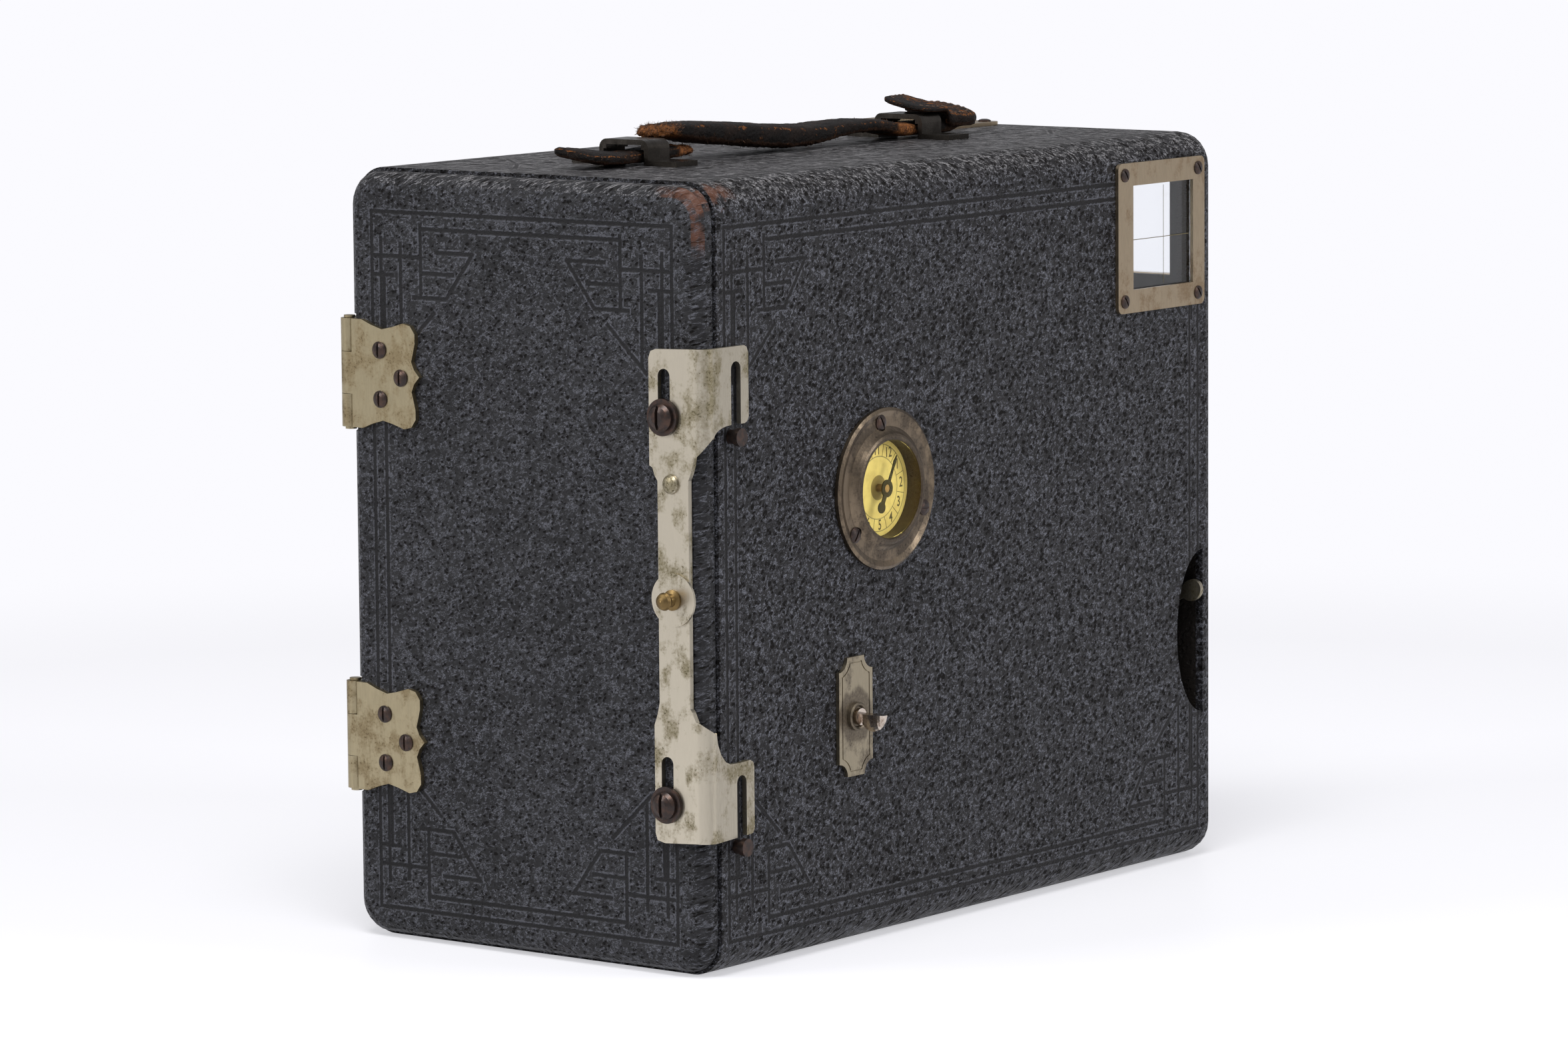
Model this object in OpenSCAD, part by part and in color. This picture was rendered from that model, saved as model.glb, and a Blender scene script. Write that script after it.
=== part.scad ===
// Leather covered box camera with a falling-plate magazine, a hinged rear
// door with a sliding latch, a changing key with a counter dial, two
// reflecting finders, a swinging shutter, a wheel of stops and a torn handle.
// +Z up, the lens looks along -Y, the door is at +Y, the counter at -X.
// The origin is at the centre of the underside.

/* [Case] */
// length from the front board to the rear door
case_length = 200; // [190:1:215]
// thickness of the wooden walls
wall = 5; // [4.5:0.1:5.5]
// radius of the long edges
edge_r = 8; // [6:0.5:9]
// radius of the edges round the front board and the door
face_r = 4; // [2:0.5:4.5]
// thickness of the front board
front_t = 5.4; // [5:0.1:6.5]
// thickness of the rear door
door_t = 4.5; // [4:0.1:5]
// gap at the door seam
seam_gap = 0.5; // [0.3:0.1:0.8]
// how far the door stands inside the case outline
door_inset = 0.8; // [0.6:0.1:1.2]
// radius of a tripod bush
bush_r = 5.2; // [4.6:0.1:6]
// radius of the tripod thread in a bush
thread_r = 3.175; // [3.1:0.025:3.2]
// clearance between pieces that are fitted together
fit_gap = 0.05; // [0.03:0.01:0.08]

/* [Magazine] */
// width of a glass plate
plate_w = 82.5; // [80:0.5:84]
// height of a glass plate
plate_h = 108; // [100:1:110]
// thickness of a glass plate
plate_t = 1.1; // [1:0.1:1.2]
// metal rim of a plate sheath, each side
sheath_rim = 0.75; // [0.6:0.05:1]
// depth of a plate sheath
sheath_t = 1.8; // [1.6:0.1:1.9]
// distance from sheath to sheath
sheath_pitch = 2.7; // [2.5:0.1:2.7]
// sheaths in the magazine, the released one included
sheath_count = 12; // [6:1:12]
// play of a sheath in the magazine, side to side
sheath_play = 0.7; // [0.5:0.1:1]
// height of the ledge that the sheaths stand on
ledge_h = 41; // [36:1:46]
// free height above the sheaths
top_space = 13.8; // [13:0.2:18]
// how far the pressure plate stands inside the sheaths
press_in = 3; // [2:0.5:4]
// width of the chamber for the changing mechanism
chamber_w = 6.6; // [6.6:0.1:8]
// thickness of the panel beside that chamber
liner_t = 1.2; // [1:0.1:1.5]

/* [Lens and shutter] */
// lens axis, sideways from the middle
lens_x = 4; // [0:0.5:6]
// radius of the lens tube
tube_r = 12; // [10:0.5:12]
// radius of the lens glass
glass_r = 9.5; // [7:0.5:9.5]
// radius of the wheel of stops
stop_r = 26; // [25:0.5:27]
// radius of the circle that the stops lie on
stop_circle = 20; // [19:0.5:20]
// radius of the largest stop
stop_hole = 5.5; // [3:0.5:5.5]
// radius of the knob that turns the wheel of stops
knob_r = 5.4; // [5:0.1:5.6]
// swing of the shutter lever
shutter_swing = 32; // [20:1:32]
// reach of the shutter lever, from its pivot to the tip
lever_reach = 36; // [35:0.5:37]
// length of the lever notch along the front edge
notch_len = 39.4; // [36:0.2:44]
// depth of the lever notch
notch_depth = 11; // [9:0.5:13]

/* [Finders] */
// length of a finder frame along the case
finder_len = 36.3; // [34:0.1:38]
// width of a finder frame across the case
finder_wid = 35.4; // [34:0.1:37]
// length of the window
window_len = 25.2; // [22:0.2:27]
// width of the window
window_wid = 24.6; // [22:0.2:26]
// width of a finder lens frame in the front board
eye_w = 25; // [22:0.2:25.4]
// height of a finder lens frame
eye_h = 24.4; // [22:0.2:24.6]
// wall of a finder lens frame
eye_t = 0.8; // [0.6:0.1:1.2]
// length of the finder bay behind the front board
finder_bay = 36.6; // [36.6:0.1:38]
// depth of the finder bay under the top
finder_deep = 40; // [40:0.5:41]
// thickness of the shelf under the finder bay
shelf_t = 3; // [2.5:0.1:3]
// thickness of a finder frame
finder_t = 0.9; // [0.6:0.1:1.2]

/* [Counter] */
// outer radius of the bezel
bezel_r = 18.3; // [17:0.1:20]
// radius of the opening in the bezel
dial_r = 11.1; // [10:0.1:12]
// how far the bezel lip stands out
bezel_lip = 2.7; // [2.4:0.1:3.2]
// radius of the head of a bezel screw
bezel_screw_r = 1.8; // [1.4:0.1:1.9]
// radius of the ratchet wheel
wheel_r = 7.6; // [7.6:0.1:7.8]
// reach of the counter hand
hand_len = 8.1; // [6:0.1:9]

/* [Changing key] */
// height of the key plate
key_plate_h = 27; // [24:0.5:30]
// width of the key plate
key_plate_w = 12.5; // [12:0.5:15]
// radius of the hollow corners of the key plate
key_corner_r = 3.1; // [2:0.1:3.5]
// radius of the crank that lifts the release bar
crank_r = 4; // [4:0.1:4.1]
// length of the thumb-piece
thumb_len = 7; // [6:0.5:9]
// depth of the thumb-piece below its flat top
thumb_deep = 4; // [3:0.1:5]
// thickness of the thumb-piece
thumb_thick = 2.8; // [2:0.1:3.4]
// radius of the key shaft
key_shaft_r = 1.5; // [1.2:0.1:1.7]

/* [Hinges] */
// height of a hinge
hinge_h = 24.6; // [23:0.1:26]
// reach of a hinge leaf from the pin
leaf_len = 22; // [20:0.5:24]
// thickness of a hinge leaf
leaf_t = 1.2; // [1:0.1:1.4]
// radius of a hinge knuckle
knuckle_r = 2; // [1.9:0.05:2.2]
// radius of a hinge pin
pin_r = 0.8; // [0.6:0.05:0.9]

/* [Latch] */
// thickness of the latch plate
latch_t = 1.2; // [1:0.1:1.4]
// gap between the latch plate and the case
latch_gap = 0.4; // [0.3:0.05:0.5]
// travel from free to locked
latch_drop = 9; // [8:0.1:9.2]
// width of the bar that joins the two halves of the plate
latch_bar_w = 8.5; // [7:0.1:10]
// radius of the latch studs
stud_r = 1.6; // [1.3:0.05:1.65]
// radius of the round boss under the thumb knob
boss_r = 5.9; // [5:0.1:7]

/* [Handle] */
// width of a handle loop across the case
loop_w = 14; // [13:0.5:16]
// height of a handle loop
loop_h = 5.8; // [5.5:0.1:7]
// width of the loop strip
loop_strip = 7.8; // [7:0.1:8.5]
// thickness of the loop strip
loop_t = 1.2; // [1:0.1:1.3]
// width of the padded strap
strap_w = 12.6; // [11:0.2:14]

/* [Hidden] */
sheath_w = plate_w + 2*sheath_rim;
sheath_h = plate_h + 2*sheath_rim + 0.5;
W = 2*wall + chamber_w + liner_t + sheath_w + sheath_play;
H = 2*wall + ledge_h + 0.2 + sheath_h + top_space;
L = case_length;
yf = -L/2;
yr = L/2;
xs = -W/2;
xi = xs + wall;
xl = xi + chamber_w;
xp = xl + liner_t;
bush_y = -10;
seam_f = yf + front_t;
seam_r = yr - door_t - seam_gap;
shelf_z = wall + ledge_h;
sheath_x = xp + sheath_play/2;
sheath_z = shelf_z + 0.2;
fall_y = yr - 53;
finger_t = 1.1;
stack_y = fall_y + sheath_t + finger_t + 0.3;
press_y = yr - 20.4;
lens_z = sheath_z + sheath_h/2;
stop_z = lens_z - stop_circle;
part_y = yf + 16;
piv_x = -15;
piv_z = 55;
piv_d = sqrt(pow(lens_x-piv_x,2) + pow(lens_z-piv_z,2));
piv_a = atan2(lens_z-piv_z, lens_x-piv_x);
lever_y = yf + 7.4;
dial_y = yr - 65.5;
dial_z = 102.4;
face_d = 1.5;
key_y = yr - 53.4;
key_z = 52.2;
notch_z = key_z + 3;
sf_y = yf + 24.05;
sf_z = H - 23;
sf_x = xs + 20.6;
tf_x = 25.3;
fs_x = [-1,1];
hx = W/2 + leaf_t - knuckle_r;
hy = yr + leaf_t - knuckle_r;
hinge_z = [128.7, 46.0];
mid_k = 9.5;
lat_y = yr + latch_gap;
lat_x = xs - latch_gap;
bend_r = 2;
screw_z = [133, 47.6];
stud_z = [128.3, 37.6];
slot_h = 14.6;
brass = [0.72,0.58,0.32];
steel = [0.33,0.30,0.27];
black = [0.07,0.065,0.06];
wood = [0.42,0.28,0.16];

// Places: each turns local +Z to point out of a face of the case.
module on_side(y, z) translate([xs, y, z]) rotate([0,-90,0]) children();
module on_right(y, z) translate([W/2, y, z]) rotate([0,90,0]) children();
module on_door(x, z) translate([x, yr, z]) rotate([-90,0,0]) children();
module on_front(x, z) translate([x, yf, z]) rotate([90,0,0]) children();
module on_top(x, y) translate([x, y, H]) children();

module box(a, b) translate(a) cube([b[0]-a[0], b[1]-a[1], b[2]-a[2]]);
module slab(w, h, z0, z1) translate([-w/2, -h/2, z0]) cube([w, h, z1-z0]);
module rod(r, z0, z1, n=48) translate([0,0,z0]) cylinder(r=r, h=z1-z0, $fn=n);

// Rectangle with round corners from squares and circles.
module rr(w, h, r, n=32) {
  square([w-2*r, h], center=true);
  square([w, h-2*r], center=true);
  for (i=[-1,1], j=[-1,1]) translate([i*(w/2-r), j*(h/2-r)])
    circle(r, $fn=n);
}
// Rounded prism along Y, from ya to yb.
module prism(w, h, r, ya, yb) translate([0, yb, h/2]) rotate([90,0,0])
  linear_extrude(yb-ya) rr(w, h, r, 64);

// Board whose outer edge is rounded by fr: outer face at yo, flat at yi.
function rrp(w, h, r, y) = [for (c=[0:3], i=[0:6]) let (a=90*c+15*i,
  sx=(c==0||c==3) ? 1 : -1, sz=(c<2) ? 1 : -1)
  [sx*(w/2-r)+r*cos(a), y, sz*(h/2-r)+r*sin(a)]];
module board(w, h, r, yi, yo, fr) {
  s = yo > yi ? 1 : -1;
  e = [for (i=[0:4]) let (a=22.5*i, d=fr*(1-cos(a)))
    rrp(w-2*d, h-2*d, r-d*0.75, yo-s*fr*(1-sin(a)))];
  g = concat([rrp(w, h, r, yi)], e);
  translate([0,0,h/2]) loft(s<0 ? g : [for (i=[5:-1:0]) g[i]]);
}

// Slotted screw: domed head above z = 0, shank below.
module screw(hr, hh, sr, sl, turn=0) {
  difference() {
    rotate_extrude($fn=32) polygon([[0,-sl],[sr,-sl],[sr,0],[hr,0],
      [hr,hh*0.35],[hr*0.8,hh*0.75],[hr*0.45,hh],[0,hh]]);
    rotate([0,0,turn]) translate([-hr-1,-hr*0.13,hh*0.55])
      cube([2*hr+2, hr*0.26, hh]);
  }
}
module drill(sr, sl) rod(sr+fit_gap, -sl-fit_gap, 9, 32);

// Closed solid through a row of rings with the same number of points.
module loft(s) {
  n = len(s[0]);
  m = len(s);
  polyhedron(points=[for (q=s) each q], faces=concat(
    [[for (i=[0:n-1]) i]],
    [for (k=[0:m-2], i=[0:n-1]) [k*n+i, (k+1)*n+i, (k+1)*n+(i+1)%n]],
    [for (k=[0:m-2], i=[0:n-1]) [k*n+i, (k+1)*n+(i+1)%n, k*n+(i+1)%n]],
    [[for (i=[n-1:-1:0]) (m-1)*n+i]]), convexity=6);
}
function sg(a) = a < 0 ? -1 : 1;
// Ring in the plane y: centre x, z, width w, thickness t, tilt a, squareness e.
function ring(y, x, z, w, t, a=0, e=0.55, n=20) = [for (i=[0:n-1])
  let (b=360*i/n, u=w/2*sg(cos(b))*pow(abs(cos(b)),e),
       v=t/2*sg(sin(b))*pow(abs(sin(b)),e))
  [x+u*cos(a)-v*sin(a), y, z+u*sin(a)+v*cos(a)]];

// Round wire along a list of points.
module wire(p, r, n=6) {
  m = len(p);
  loft([for (k=[0:m-1]) let (
      t0=p[min(k+1,m-1)]-p[max(k-1,0)], t=t0/norm(t0),
      u0=cross(t,[0,0,1])+[0,0,abs(t[2])>0.99?1:0],
      u=(abs(t[2])>0.99 ? [1,0,0] : u0/norm(u0)), v=cross(t,u))
    [for (i=[0:n-1]) p[k]+r*(cos(360*i/n)*u+sin(360*i/n)*v)]]);
}

// Case: four boards, mitred at the long edges. s is 1 for the +X or +Z board.
module side_board(s) board_of([[s*W/2,-H/2], [s*W/2,H/2], [s*-xi,H/2-wall],
  [s*-xi,wall-H/2]]);
module flat_board(s) board_of([[-W/2,s*H/2], [W/2,s*H/2], [-xi,s*(H/2-wall)],
  [xi,s*(H/2-wall)]]);
module board_of(outline) translate([0, seam_r, H/2]) rotate([90,0,0])
  linear_extrude(seam_r-seam_f) intersection() {
    rr(W, H, edge_r, 64);
    polygon(outline);
  }
module case_top() color(black) difference() {
  flat_board(1);
  box([tf_x-window_wid/2-1, sf_y-0.65-window_len/2-1, H-wall-1],
      [tf_x+window_wid/2+1, sf_y-0.65+window_len/2+1, H+1]);
  finder_places() drill(0.9, 3);
}
module case_base() color(black) difference() {
  flat_board(-1);
  translate([0,bush_y,-1]) cylinder(r=bush_r+fit_gap, h=wall+2, $fn=48);
}
module case_counter_side() color(black) difference() {
  side_board(-1);
  on_side(dial_y, dial_z) rod(bezel_r-5.3+fit_gap, -wall-1, 1, 64);
  on_side(key_y, key_z) rod(key_shaft_r+0.7, -wall-1, 1, 32);
  box([xs-1, sf_y-0.65-window_len/2-1, sf_z+0.1-window_wid/2-1],
      [xi+1, sf_y-0.65+window_len/2+1, sf_z+0.1+window_wid/2+1]);
  translate([xs-1, seam_f, notch_z]) rotate([0,90,0])
    scale([notch_len/2, notch_depth, 1]) cylinder(r=1, h=wall+2, $fn=64);
  finder_places() drill(0.9, 3);
  counter_places() drill(0.8, 3.6);
  for (k=[0,1]) on_side(yr-9.5-0.9*k, stud_z[k]-latch_drop)
    drill(stud_r-0.4, 4);
}
module case_hinge_side() color(black) difference() {
  side_board(1);
  leaf_places(-1) drill(0.9, 3.2);
  on_right(bush_y, H/2) rod(bush_r+fit_gap, -wall-1, 1);
}
module tripod_bushes() color(brass) {
  translate([0,bush_y,0]) bush();
  on_right(bush_y, H/2) mirror([0,0,1]) bush();
}
module bush() difference() {
  rod(bush_r, 0.05, wall-0.05);
  rod(thread_r, -1, wall+1);
}
module front_board() color(black) difference() {
  board(W, H, edge_r, seam_f, yf, face_r);
  on_front(lens_x, lens_z) rod(tube_r+0.6, -front_t-1, 2, 64);
  on_front(lens_x, stop_z) rod(2+fit_gap, -front_t-1, 2);
  lens_places() slab(eye_w+2*fit_gap, eye_h+2*fit_gap, -front_t-1, 2);
}
module magazine_liner() color(wood) difference() {
  box([xl, seam_f+finder_bay+0.1, wall+0.05], [xp, yr-12, H-wall-0.05]);
  box([xl-1, fall_y-3.5, H-25], [xp+1, stack_y+1, H]);
}
module plate_ledge() color(wood) {
  box([xp+0.05, fall_y-1.5, shelf_z-4], [-xi-0.05, yr-9.2, shelf_z]);
  box([xp+0.05, fall_y-1.5, wall+0.05], [-xi-0.05, fall_y+2.5, shelf_z-4]);
}
module lens_partition() color(wood) difference() {
  box([xi+0.05, part_y, wall+0.05], [-xi-0.05, part_y+5, H-finder_deep-shelf_t-0.05]);
  translate([lens_x, 0, lens_z]) rotate([90,0,0])
    rod(tube_r+fit_gap, -part_y-6, -part_y+1, 64);
}
module finder_shelf() color(wood)
  box([xi+0.05, seam_f+0.2, H-finder_deep-shelf_t],
      [-xi-0.05, seam_f+finder_bay, H-finder_deep]);

// Lens
module lens_at(y) translate([lens_x, y, lens_z]) rotate([90,0,0]) children();
module lens_barrel() color(brass) lens_at(part_y) difference() {
  union() {
    rod(tube_r, -18, 4.5, 64);
    rod(tube_r+5, 0.02, 1.4, 64);
  }
  rod(glass_r+fit_gap, -19, 6, 64);
}
module lens_glass(r, t, b) rotate_extrude($fn=48) polygon(concat([[0,0],[r,0]],
  [for (i=[0:5]) [r*(1-i/5), t+b*(1-pow(1-i/5,2))]]));
module lens_glasses() color([0.75,0.85,0.85,0.4]) {
  lens_at(part_y-0.6) lens_glass(glass_r, 1.2, 1.6);
  lens_at(part_y+17.4) lens_glass(glass_r, 1.2, 1.6);
}
module lens_ring() color(brass) on_front(lens_x, lens_z) difference() {
  union() {
    rod(stop_circle-knob_r-0.7, 0.02, 1.6, 64);
    rod(tube_r+0.5, -front_t+0.6, 0.5, 64);
  }
  rod(tube_r-1.5, -front_t, 2, 64);
}
module stop_disc() color(black) on_front(lens_x, stop_z) difference() {
  rod(stop_r, -front_t-1.1, -front_t-0.3, 96);
  for (k=[0:3]) rotate([0,0,90+90*k]) translate([stop_circle,0,0])
    rod(stop_hole*(1-0.21*k), -20, 1);
  rod(2.02, -20, 1);
}
module stop_knob() color(brass) on_front(lens_x, stop_z) {
  rod(2, -front_t-1.1, 0.4);
  difference() {
    rod(knob_r, 0.3, 4, 48);
    for (a=[0:15:359]) rotate([0,0,a]) translate([knob_r+0.2,0,0])
      rod(0.4, -1, 5, 16);
  }
}

// Shutter
module piv_at() translate([piv_x, 0, piv_z]) rotate([90,0,0]) children();
module shutter_post() color(brass) piv_at() {
  rod(3, -part_y+0.02, -lever_y-2, 32);
  rod(1.5, -lever_y-2, -lever_y+1, 32);
}
module shutter_spring() color(steel)
  wire([for (i=[0:48]) let (a=i*30)
    [piv_x+4.4*cos(a), part_y-0.6-i*0.11, piv_z+4.4*sin(a)]], 0.25);
module shutter_sector() color(black) piv_at() difference() {
  translate([0,0,-lever_y-1.2]) linear_extrude(0.6) difference() {
    union() {
      circle(5, $fn=48);
      rotate(piv_a-shutter_swing/2) {
        polygon(concat([for (i=[-5:5]) (piv_d+8.5)*[cos(i*5.1),sin(i*5.1)]],
          [for (i=[5:-1:-5]) (piv_d-7.9)*[cos(i*5.1),sin(i*5.1)]]));
        translate([3,-4.5]) square([piv_d-9, 9]);
      }
    }
    rotate(piv_a-shutter_swing/2) translate([piv_d,0]) circle(6.5, $fn=48);
    circle(1.5+fit_gap, $fn=32);
  }
}
module shutter_lever() color(brass) piv_at() difference() {
  translate([0,0,-lever_y-0.6]) linear_extrude(1.2) difference() {
    union() {
      circle(4, $fn=48);
      rotate(180-shutter_swing/2) {
        translate([0,-2]) square([lever_reach-6.5, 4]);
        polygon([[lever_reach-7,-2],[lever_reach-7,2],[lever_reach-4.6,1.5],
          [lever_reach-2,1.2],[lever_reach-2,-1.2],[lever_reach-4.6,-1.2]]);
        translate([lever_reach,0]) rotate(-20) scale([2.9,2.5])
          circle(1, $fn=40);
      }
    }
    circle(1.5+fit_gap, $fn=32);
  }
}

// Finders
module finder_places() {
  for (i=fs_x, j=fs_x) on_side(sf_y+i*(finder_len/2-2.75), sf_z+j*(finder_wid/2-2.8))
    translate([0,0,finder_t]) children();
  for (i=fs_x, j=fs_x) on_top(tf_x+j*(finder_wid/2-2.8), sf_y+i*(finder_len/2-2.75))
    translate([0,0,finder_t]) children();
}
module finder_screws() color(steel) finder_places() screw(1.6, 0.6, 0.9, 3, 35);
module finder_frame(a, b, c, d) difference() {
  linear_extrude(finder_t-0.02) difference() {
    rr(a, b, 1.6);
    translate([0,-0.65*(a<b?1:0)]) square([c, d], center=true);
    for (i=fs_x, j=fs_x) translate([i*(a/2-2.8), j*(b/2-2.75)]) circle(0.95, $fn=24);
  }
}
module side_finder_plate() color(steel) translate([xs-0.02, sf_y, sf_z])
  rotate([0,-90,0]) finder_frame(finder_wid, finder_len, window_wid, window_len);
module top_finder_plate() color(steel) translate([tf_x, sf_y, H+0.02])
  finder_frame(finder_wid, finder_len, window_wid, window_len);
module lens_places() {
  on_front(sf_x, sf_z) children();
  on_front(tf_x, H-18.5) children();
}
module side_finder_box() color(black) difference() {
  box([xi+0.1, seam_f+0.4, sf_z-16], [-16, seam_f+finder_bay-2, sf_z+16]);
  box([xi-1, seam_f+1.6, sf_z-14.8], [-17.2, seam_f+finder_bay-3.2, sf_z+14.8]);
  lens_places() slab(eye_w-2*eye_t, eye_h-2*eye_t, -12, 2);
}
module top_finder_box() color(black) difference() {
  box([tf_x-16, seam_f+0.4, H-32], [tf_x+16, seam_f+finder_bay-2, H-wall-0.1]);
  box([tf_x-14.8, seam_f+1.6, H-30.8], [tf_x+14.8, seam_f+finder_bay-3.2, H]);
  lens_places() slab(eye_w-2*eye_t, eye_h-2*eye_t, -12, 2);
}
module finder_mirrors() color([0.6,0.63,0.63]) {
  translate([-32.6, seam_f+17.5, sf_z]) rotate([0,0,-45])
    cube([35, 1.5, 29], center=true);
  translate([tf_x, seam_f+17.5, H-17.5]) rotate([45,0,0])
    cube([29, 34, 1.5], center=true);
}
module finder_lens_frames() color(brass) lens_places() difference() {
  union() {
    slab(eye_w+3.2, eye_h+3.2, 0.02, 0.9);
    slab(eye_w, eye_h, -front_t+0.2, 0.5);
  }
  slab(eye_w-2*eye_t, eye_h-2*eye_t, -front_t, 2);
}
module finder_lenses() color([0.75,0.85,0.85,0.4]) lens_places()
  translate([0,0,-3]) intersection() {
    lens_glass(eye_w*0.75, 0.8, 1.8);
    slab(eye_w-2*eye_t-2*fit_gap, eye_h-2*eye_t-2*fit_gap, -1, 4);
  }
module finder_glasses() color([0.7,0.75,0.7,0.4]) {
  box([xs+0.05, sf_y-0.6-window_len/2-1, sf_z+0.15-window_wid/2-1],
      [xs+1.25, sf_y-0.7+window_len/2+1, sf_z+0.05+window_wid/2+1]);
  box([tf_x-window_wid/2-0.95, sf_y-0.6-window_len/2-1, H-1.25],
      [tf_x+window_wid/2+0.95, sf_y-0.7+window_len/2+1, H-0.05]);
}

// Counter
module counter_places() on_side(dial_y, dial_z)
  for (a=[8,128,248]) rotate([0,0,a]) translate([bezel_r-3.1,0,0.9]) children();
module counter_bezel() color(brass) difference() {
  on_side(dial_y, dial_z) rotate_extrude($fn=96) polygon([
    [dial_r, -face_d-0.75], [bezel_r-5.3, -face_d-0.75], [bezel_r-5.3, 0.02],
    [bezel_r, 0.02], [bezel_r, 0.9], [bezel_r-0.7, 1.35],
    [bezel_r-2, 0.9], [bezel_r-4.2, 0.9], [bezel_r-5.2, 1.7],
    [dial_r+1.4, bezel_lip-0.3], [dial_r+0.9, bezel_lip],
    [dial_r+0.3, bezel_lip], [dial_r, bezel_lip-0.3]]);
  counter_places() drill(0.8, 2);
  counter_places() rod(bezel_screw_r+fit_gap, 0, 2, 32);
}
module counter_screws() color(steel) counter_places() screw(bezel_screw_r, 0.7, 0.8, 3.6, 20);
module counter_dial() color([0.8,0.72,0.45]) on_side(dial_y, dial_z) difference() {
  rod(dial_r-fit_gap, -face_d-0.7, -face_d, 64);
  rod(0.9+fit_gap, -9, 0, 32);
}
module counter_glass() color([0.85,0.9,0.88,0.3]) on_side(dial_y, dial_z)
  rod(dial_r-fit_gap, bezel_lip-0.9, bezel_lip-0.5, 64);
module counter_wheel() color(brass) on_side(dial_y, dial_z) {
  rod(0.9, -wall-1, 1, 32);
  rod(0.65, -wall-3.75, -wall-1, 32);
  difference() {
    translate([0,0,-wall-1]) linear_extrude(0.7)
      polygon([for (k=[0:11]) let (a=75-30*k) each [
        (wheel_r-1.4)*[cos(a),sin(a)], wheel_r*[cos(a),sin(a)]]]);
    rod(0.9, -9, 0, 32);
  }
}
module counter_hand() color([0.06,0.05,0.05]) on_side(dial_y, dial_z) difference() {
  union() {
    rod(2, 0.8, 1.1, 32);
    rotate([0,0,-27]) translate([0,0,0.85]) linear_extrude(0.25) {
      polygon([[0,-0.5],[hand_len-3.2,-0.3],[hand_len-1.6,-0.45],[hand_len,0],
        [hand_len-1.6,0.45],[hand_len-3.2,0.3],[0,0.5]]);
      translate([-4.6,-0.6]) square([4.6,1.2]);
      translate([-4.65,0]) circle(1.3, $fn=32);
    }
  }
  rod(0.92, 0, 2, 32);
}
module counter_bridge() color(brass) on_side(dial_y, dial_z) difference() {
  union() {
    translate([-14,-2.2,-wall-3.85]) cube([28, 4.4, 1.2]);
    for (i=fs_x) translate([i*12.2-1.8,-2.2,-wall-3.85]) cube([3.6, 4.4, 3.8]);
  }
  rod(0.65+fit_gap, -20, 0, 32);
}

// Changing key and release
module key_outline(inset) difference() {
  square([key_plate_h-2*inset, key_plate_w-2*inset], center=true);
  for (i=fs_x, j=fs_x) translate([i*key_plate_h/2, j*key_plate_w/2])
    circle(key_corner_r+inset, $fn=48);
}
module key_plate() color(steel) on_side(key_y, key_z) difference() {
  union() {
    translate([0,0,0.02]) linear_extrude(0.9) key_outline(0);
    rotate_extrude($fn=64) polygon([[0,0.5],[3.2,0.5],[3.2,1.7],[2.9,2],[2.5,1.8],
      [2.2,1.3],[0,1.3]]);
  }
  // engraved line
  translate([0,0,0.72]) linear_extrude(1) difference() {
    key_outline(1.1);
    key_outline(1.4);
    circle(3.2, $fn=64);
  }
  rod(key_shaft_r+fit_gap, -1, 3, 48);
}
module thumb_piece() {
  start = 2.2;
  top = 0.8;
  loft([for (i=[-5:5]) let (c=cos(i*16), u=start+thumb_len/2*(1+sin(i*16)/sin(80)))
    [for (k=[0:12])
      [top-thumb_deep*c*sin(15*k), thumb_thick/2*sqrt(c)*cos(15*k), u]]]);
}
module change_key() color(brass) on_side(key_y, key_z) {
  rod(key_shaft_r, -wall-1.15, 2.5, 48);
  rod(1.9, 1.4, 2.5, 32);
  thumb_piece();
}
module key_crank() color(brass) on_side(key_y, key_z) {
  difference() {
    rod(crank_r+1.4, -wall-1.15, -wall-0.15, 48);
    rod(key_shaft_r+0.02, -20, 0, 48);
  }
  translate([-crank_r*sin(30), -crank_r*cos(30), 0])
    rod(1, -wall-3.5, -wall-1.1, 32);
}
module release_bar() color(steel) {
  bx = xi+1.35;
  difference() {
    union() {
      box([bx, key_y-2, key_z-5.2], [bx+2, key_y+2, sheath_z+sheath_h+3.5]);
      box([bx, key_y-crank_r-2, key_z-5.2], [bx+2, key_y, key_z+1.4]);
      box([bx-0.9, dial_y+wheel_r+0.7, dial_z-4.2], [bx+0.5, key_y, dial_z-1.2]);
      box([bx-0.9, dial_y+wheel_r-0.7, dial_z-3.25], [bx-0.1, dial_y+wheel_r+1, dial_z-2.25]);
      box([bx, key_y-2, sheath_z+sheath_h+1], [20, key_y+2, sheath_z+sheath_h+3.5]);
      for (x=[-20,14]) {
        box([x, key_y, sheath_z+sheath_h+1], [x+6, stack_y-0.15, sheath_z+sheath_h+3.5]);
        box([x, stack_y-0.15-finger_t, sheath_z+sheath_h-3.7],
            [x+6, stack_y-0.15, sheath_z+sheath_h+3.5]);
      }
    }
    box([bx-1, key_y-crank_r-1.2, key_z-crank_r*0.5-1.1],
        [bx+3, key_y-crank_r*0.866+1.2, key_z-crank_r*0.5+1.1]);
  }
}
module bar_guides() color(steel) for (z=[70,140]) difference() {
  box([xi+0.02, key_y-4, z-2], [xi+4.8, key_y+4, z+2]);
  box([xi+1.25, key_y-2.1, z-3], [xi+3.45, key_y+2.1, z+3]);
}
module release_spring() color(steel) let (z0=sheath_z+sheath_h+3.9, z1=H-wall-0.4)
  wire([for (i=[0:72]) let (a=i*20)
    [xl-0.6+2.6*cos(a), key_y+2.6*sin(a), z0+(z1-z0)*i/72]], 0.3);

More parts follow.
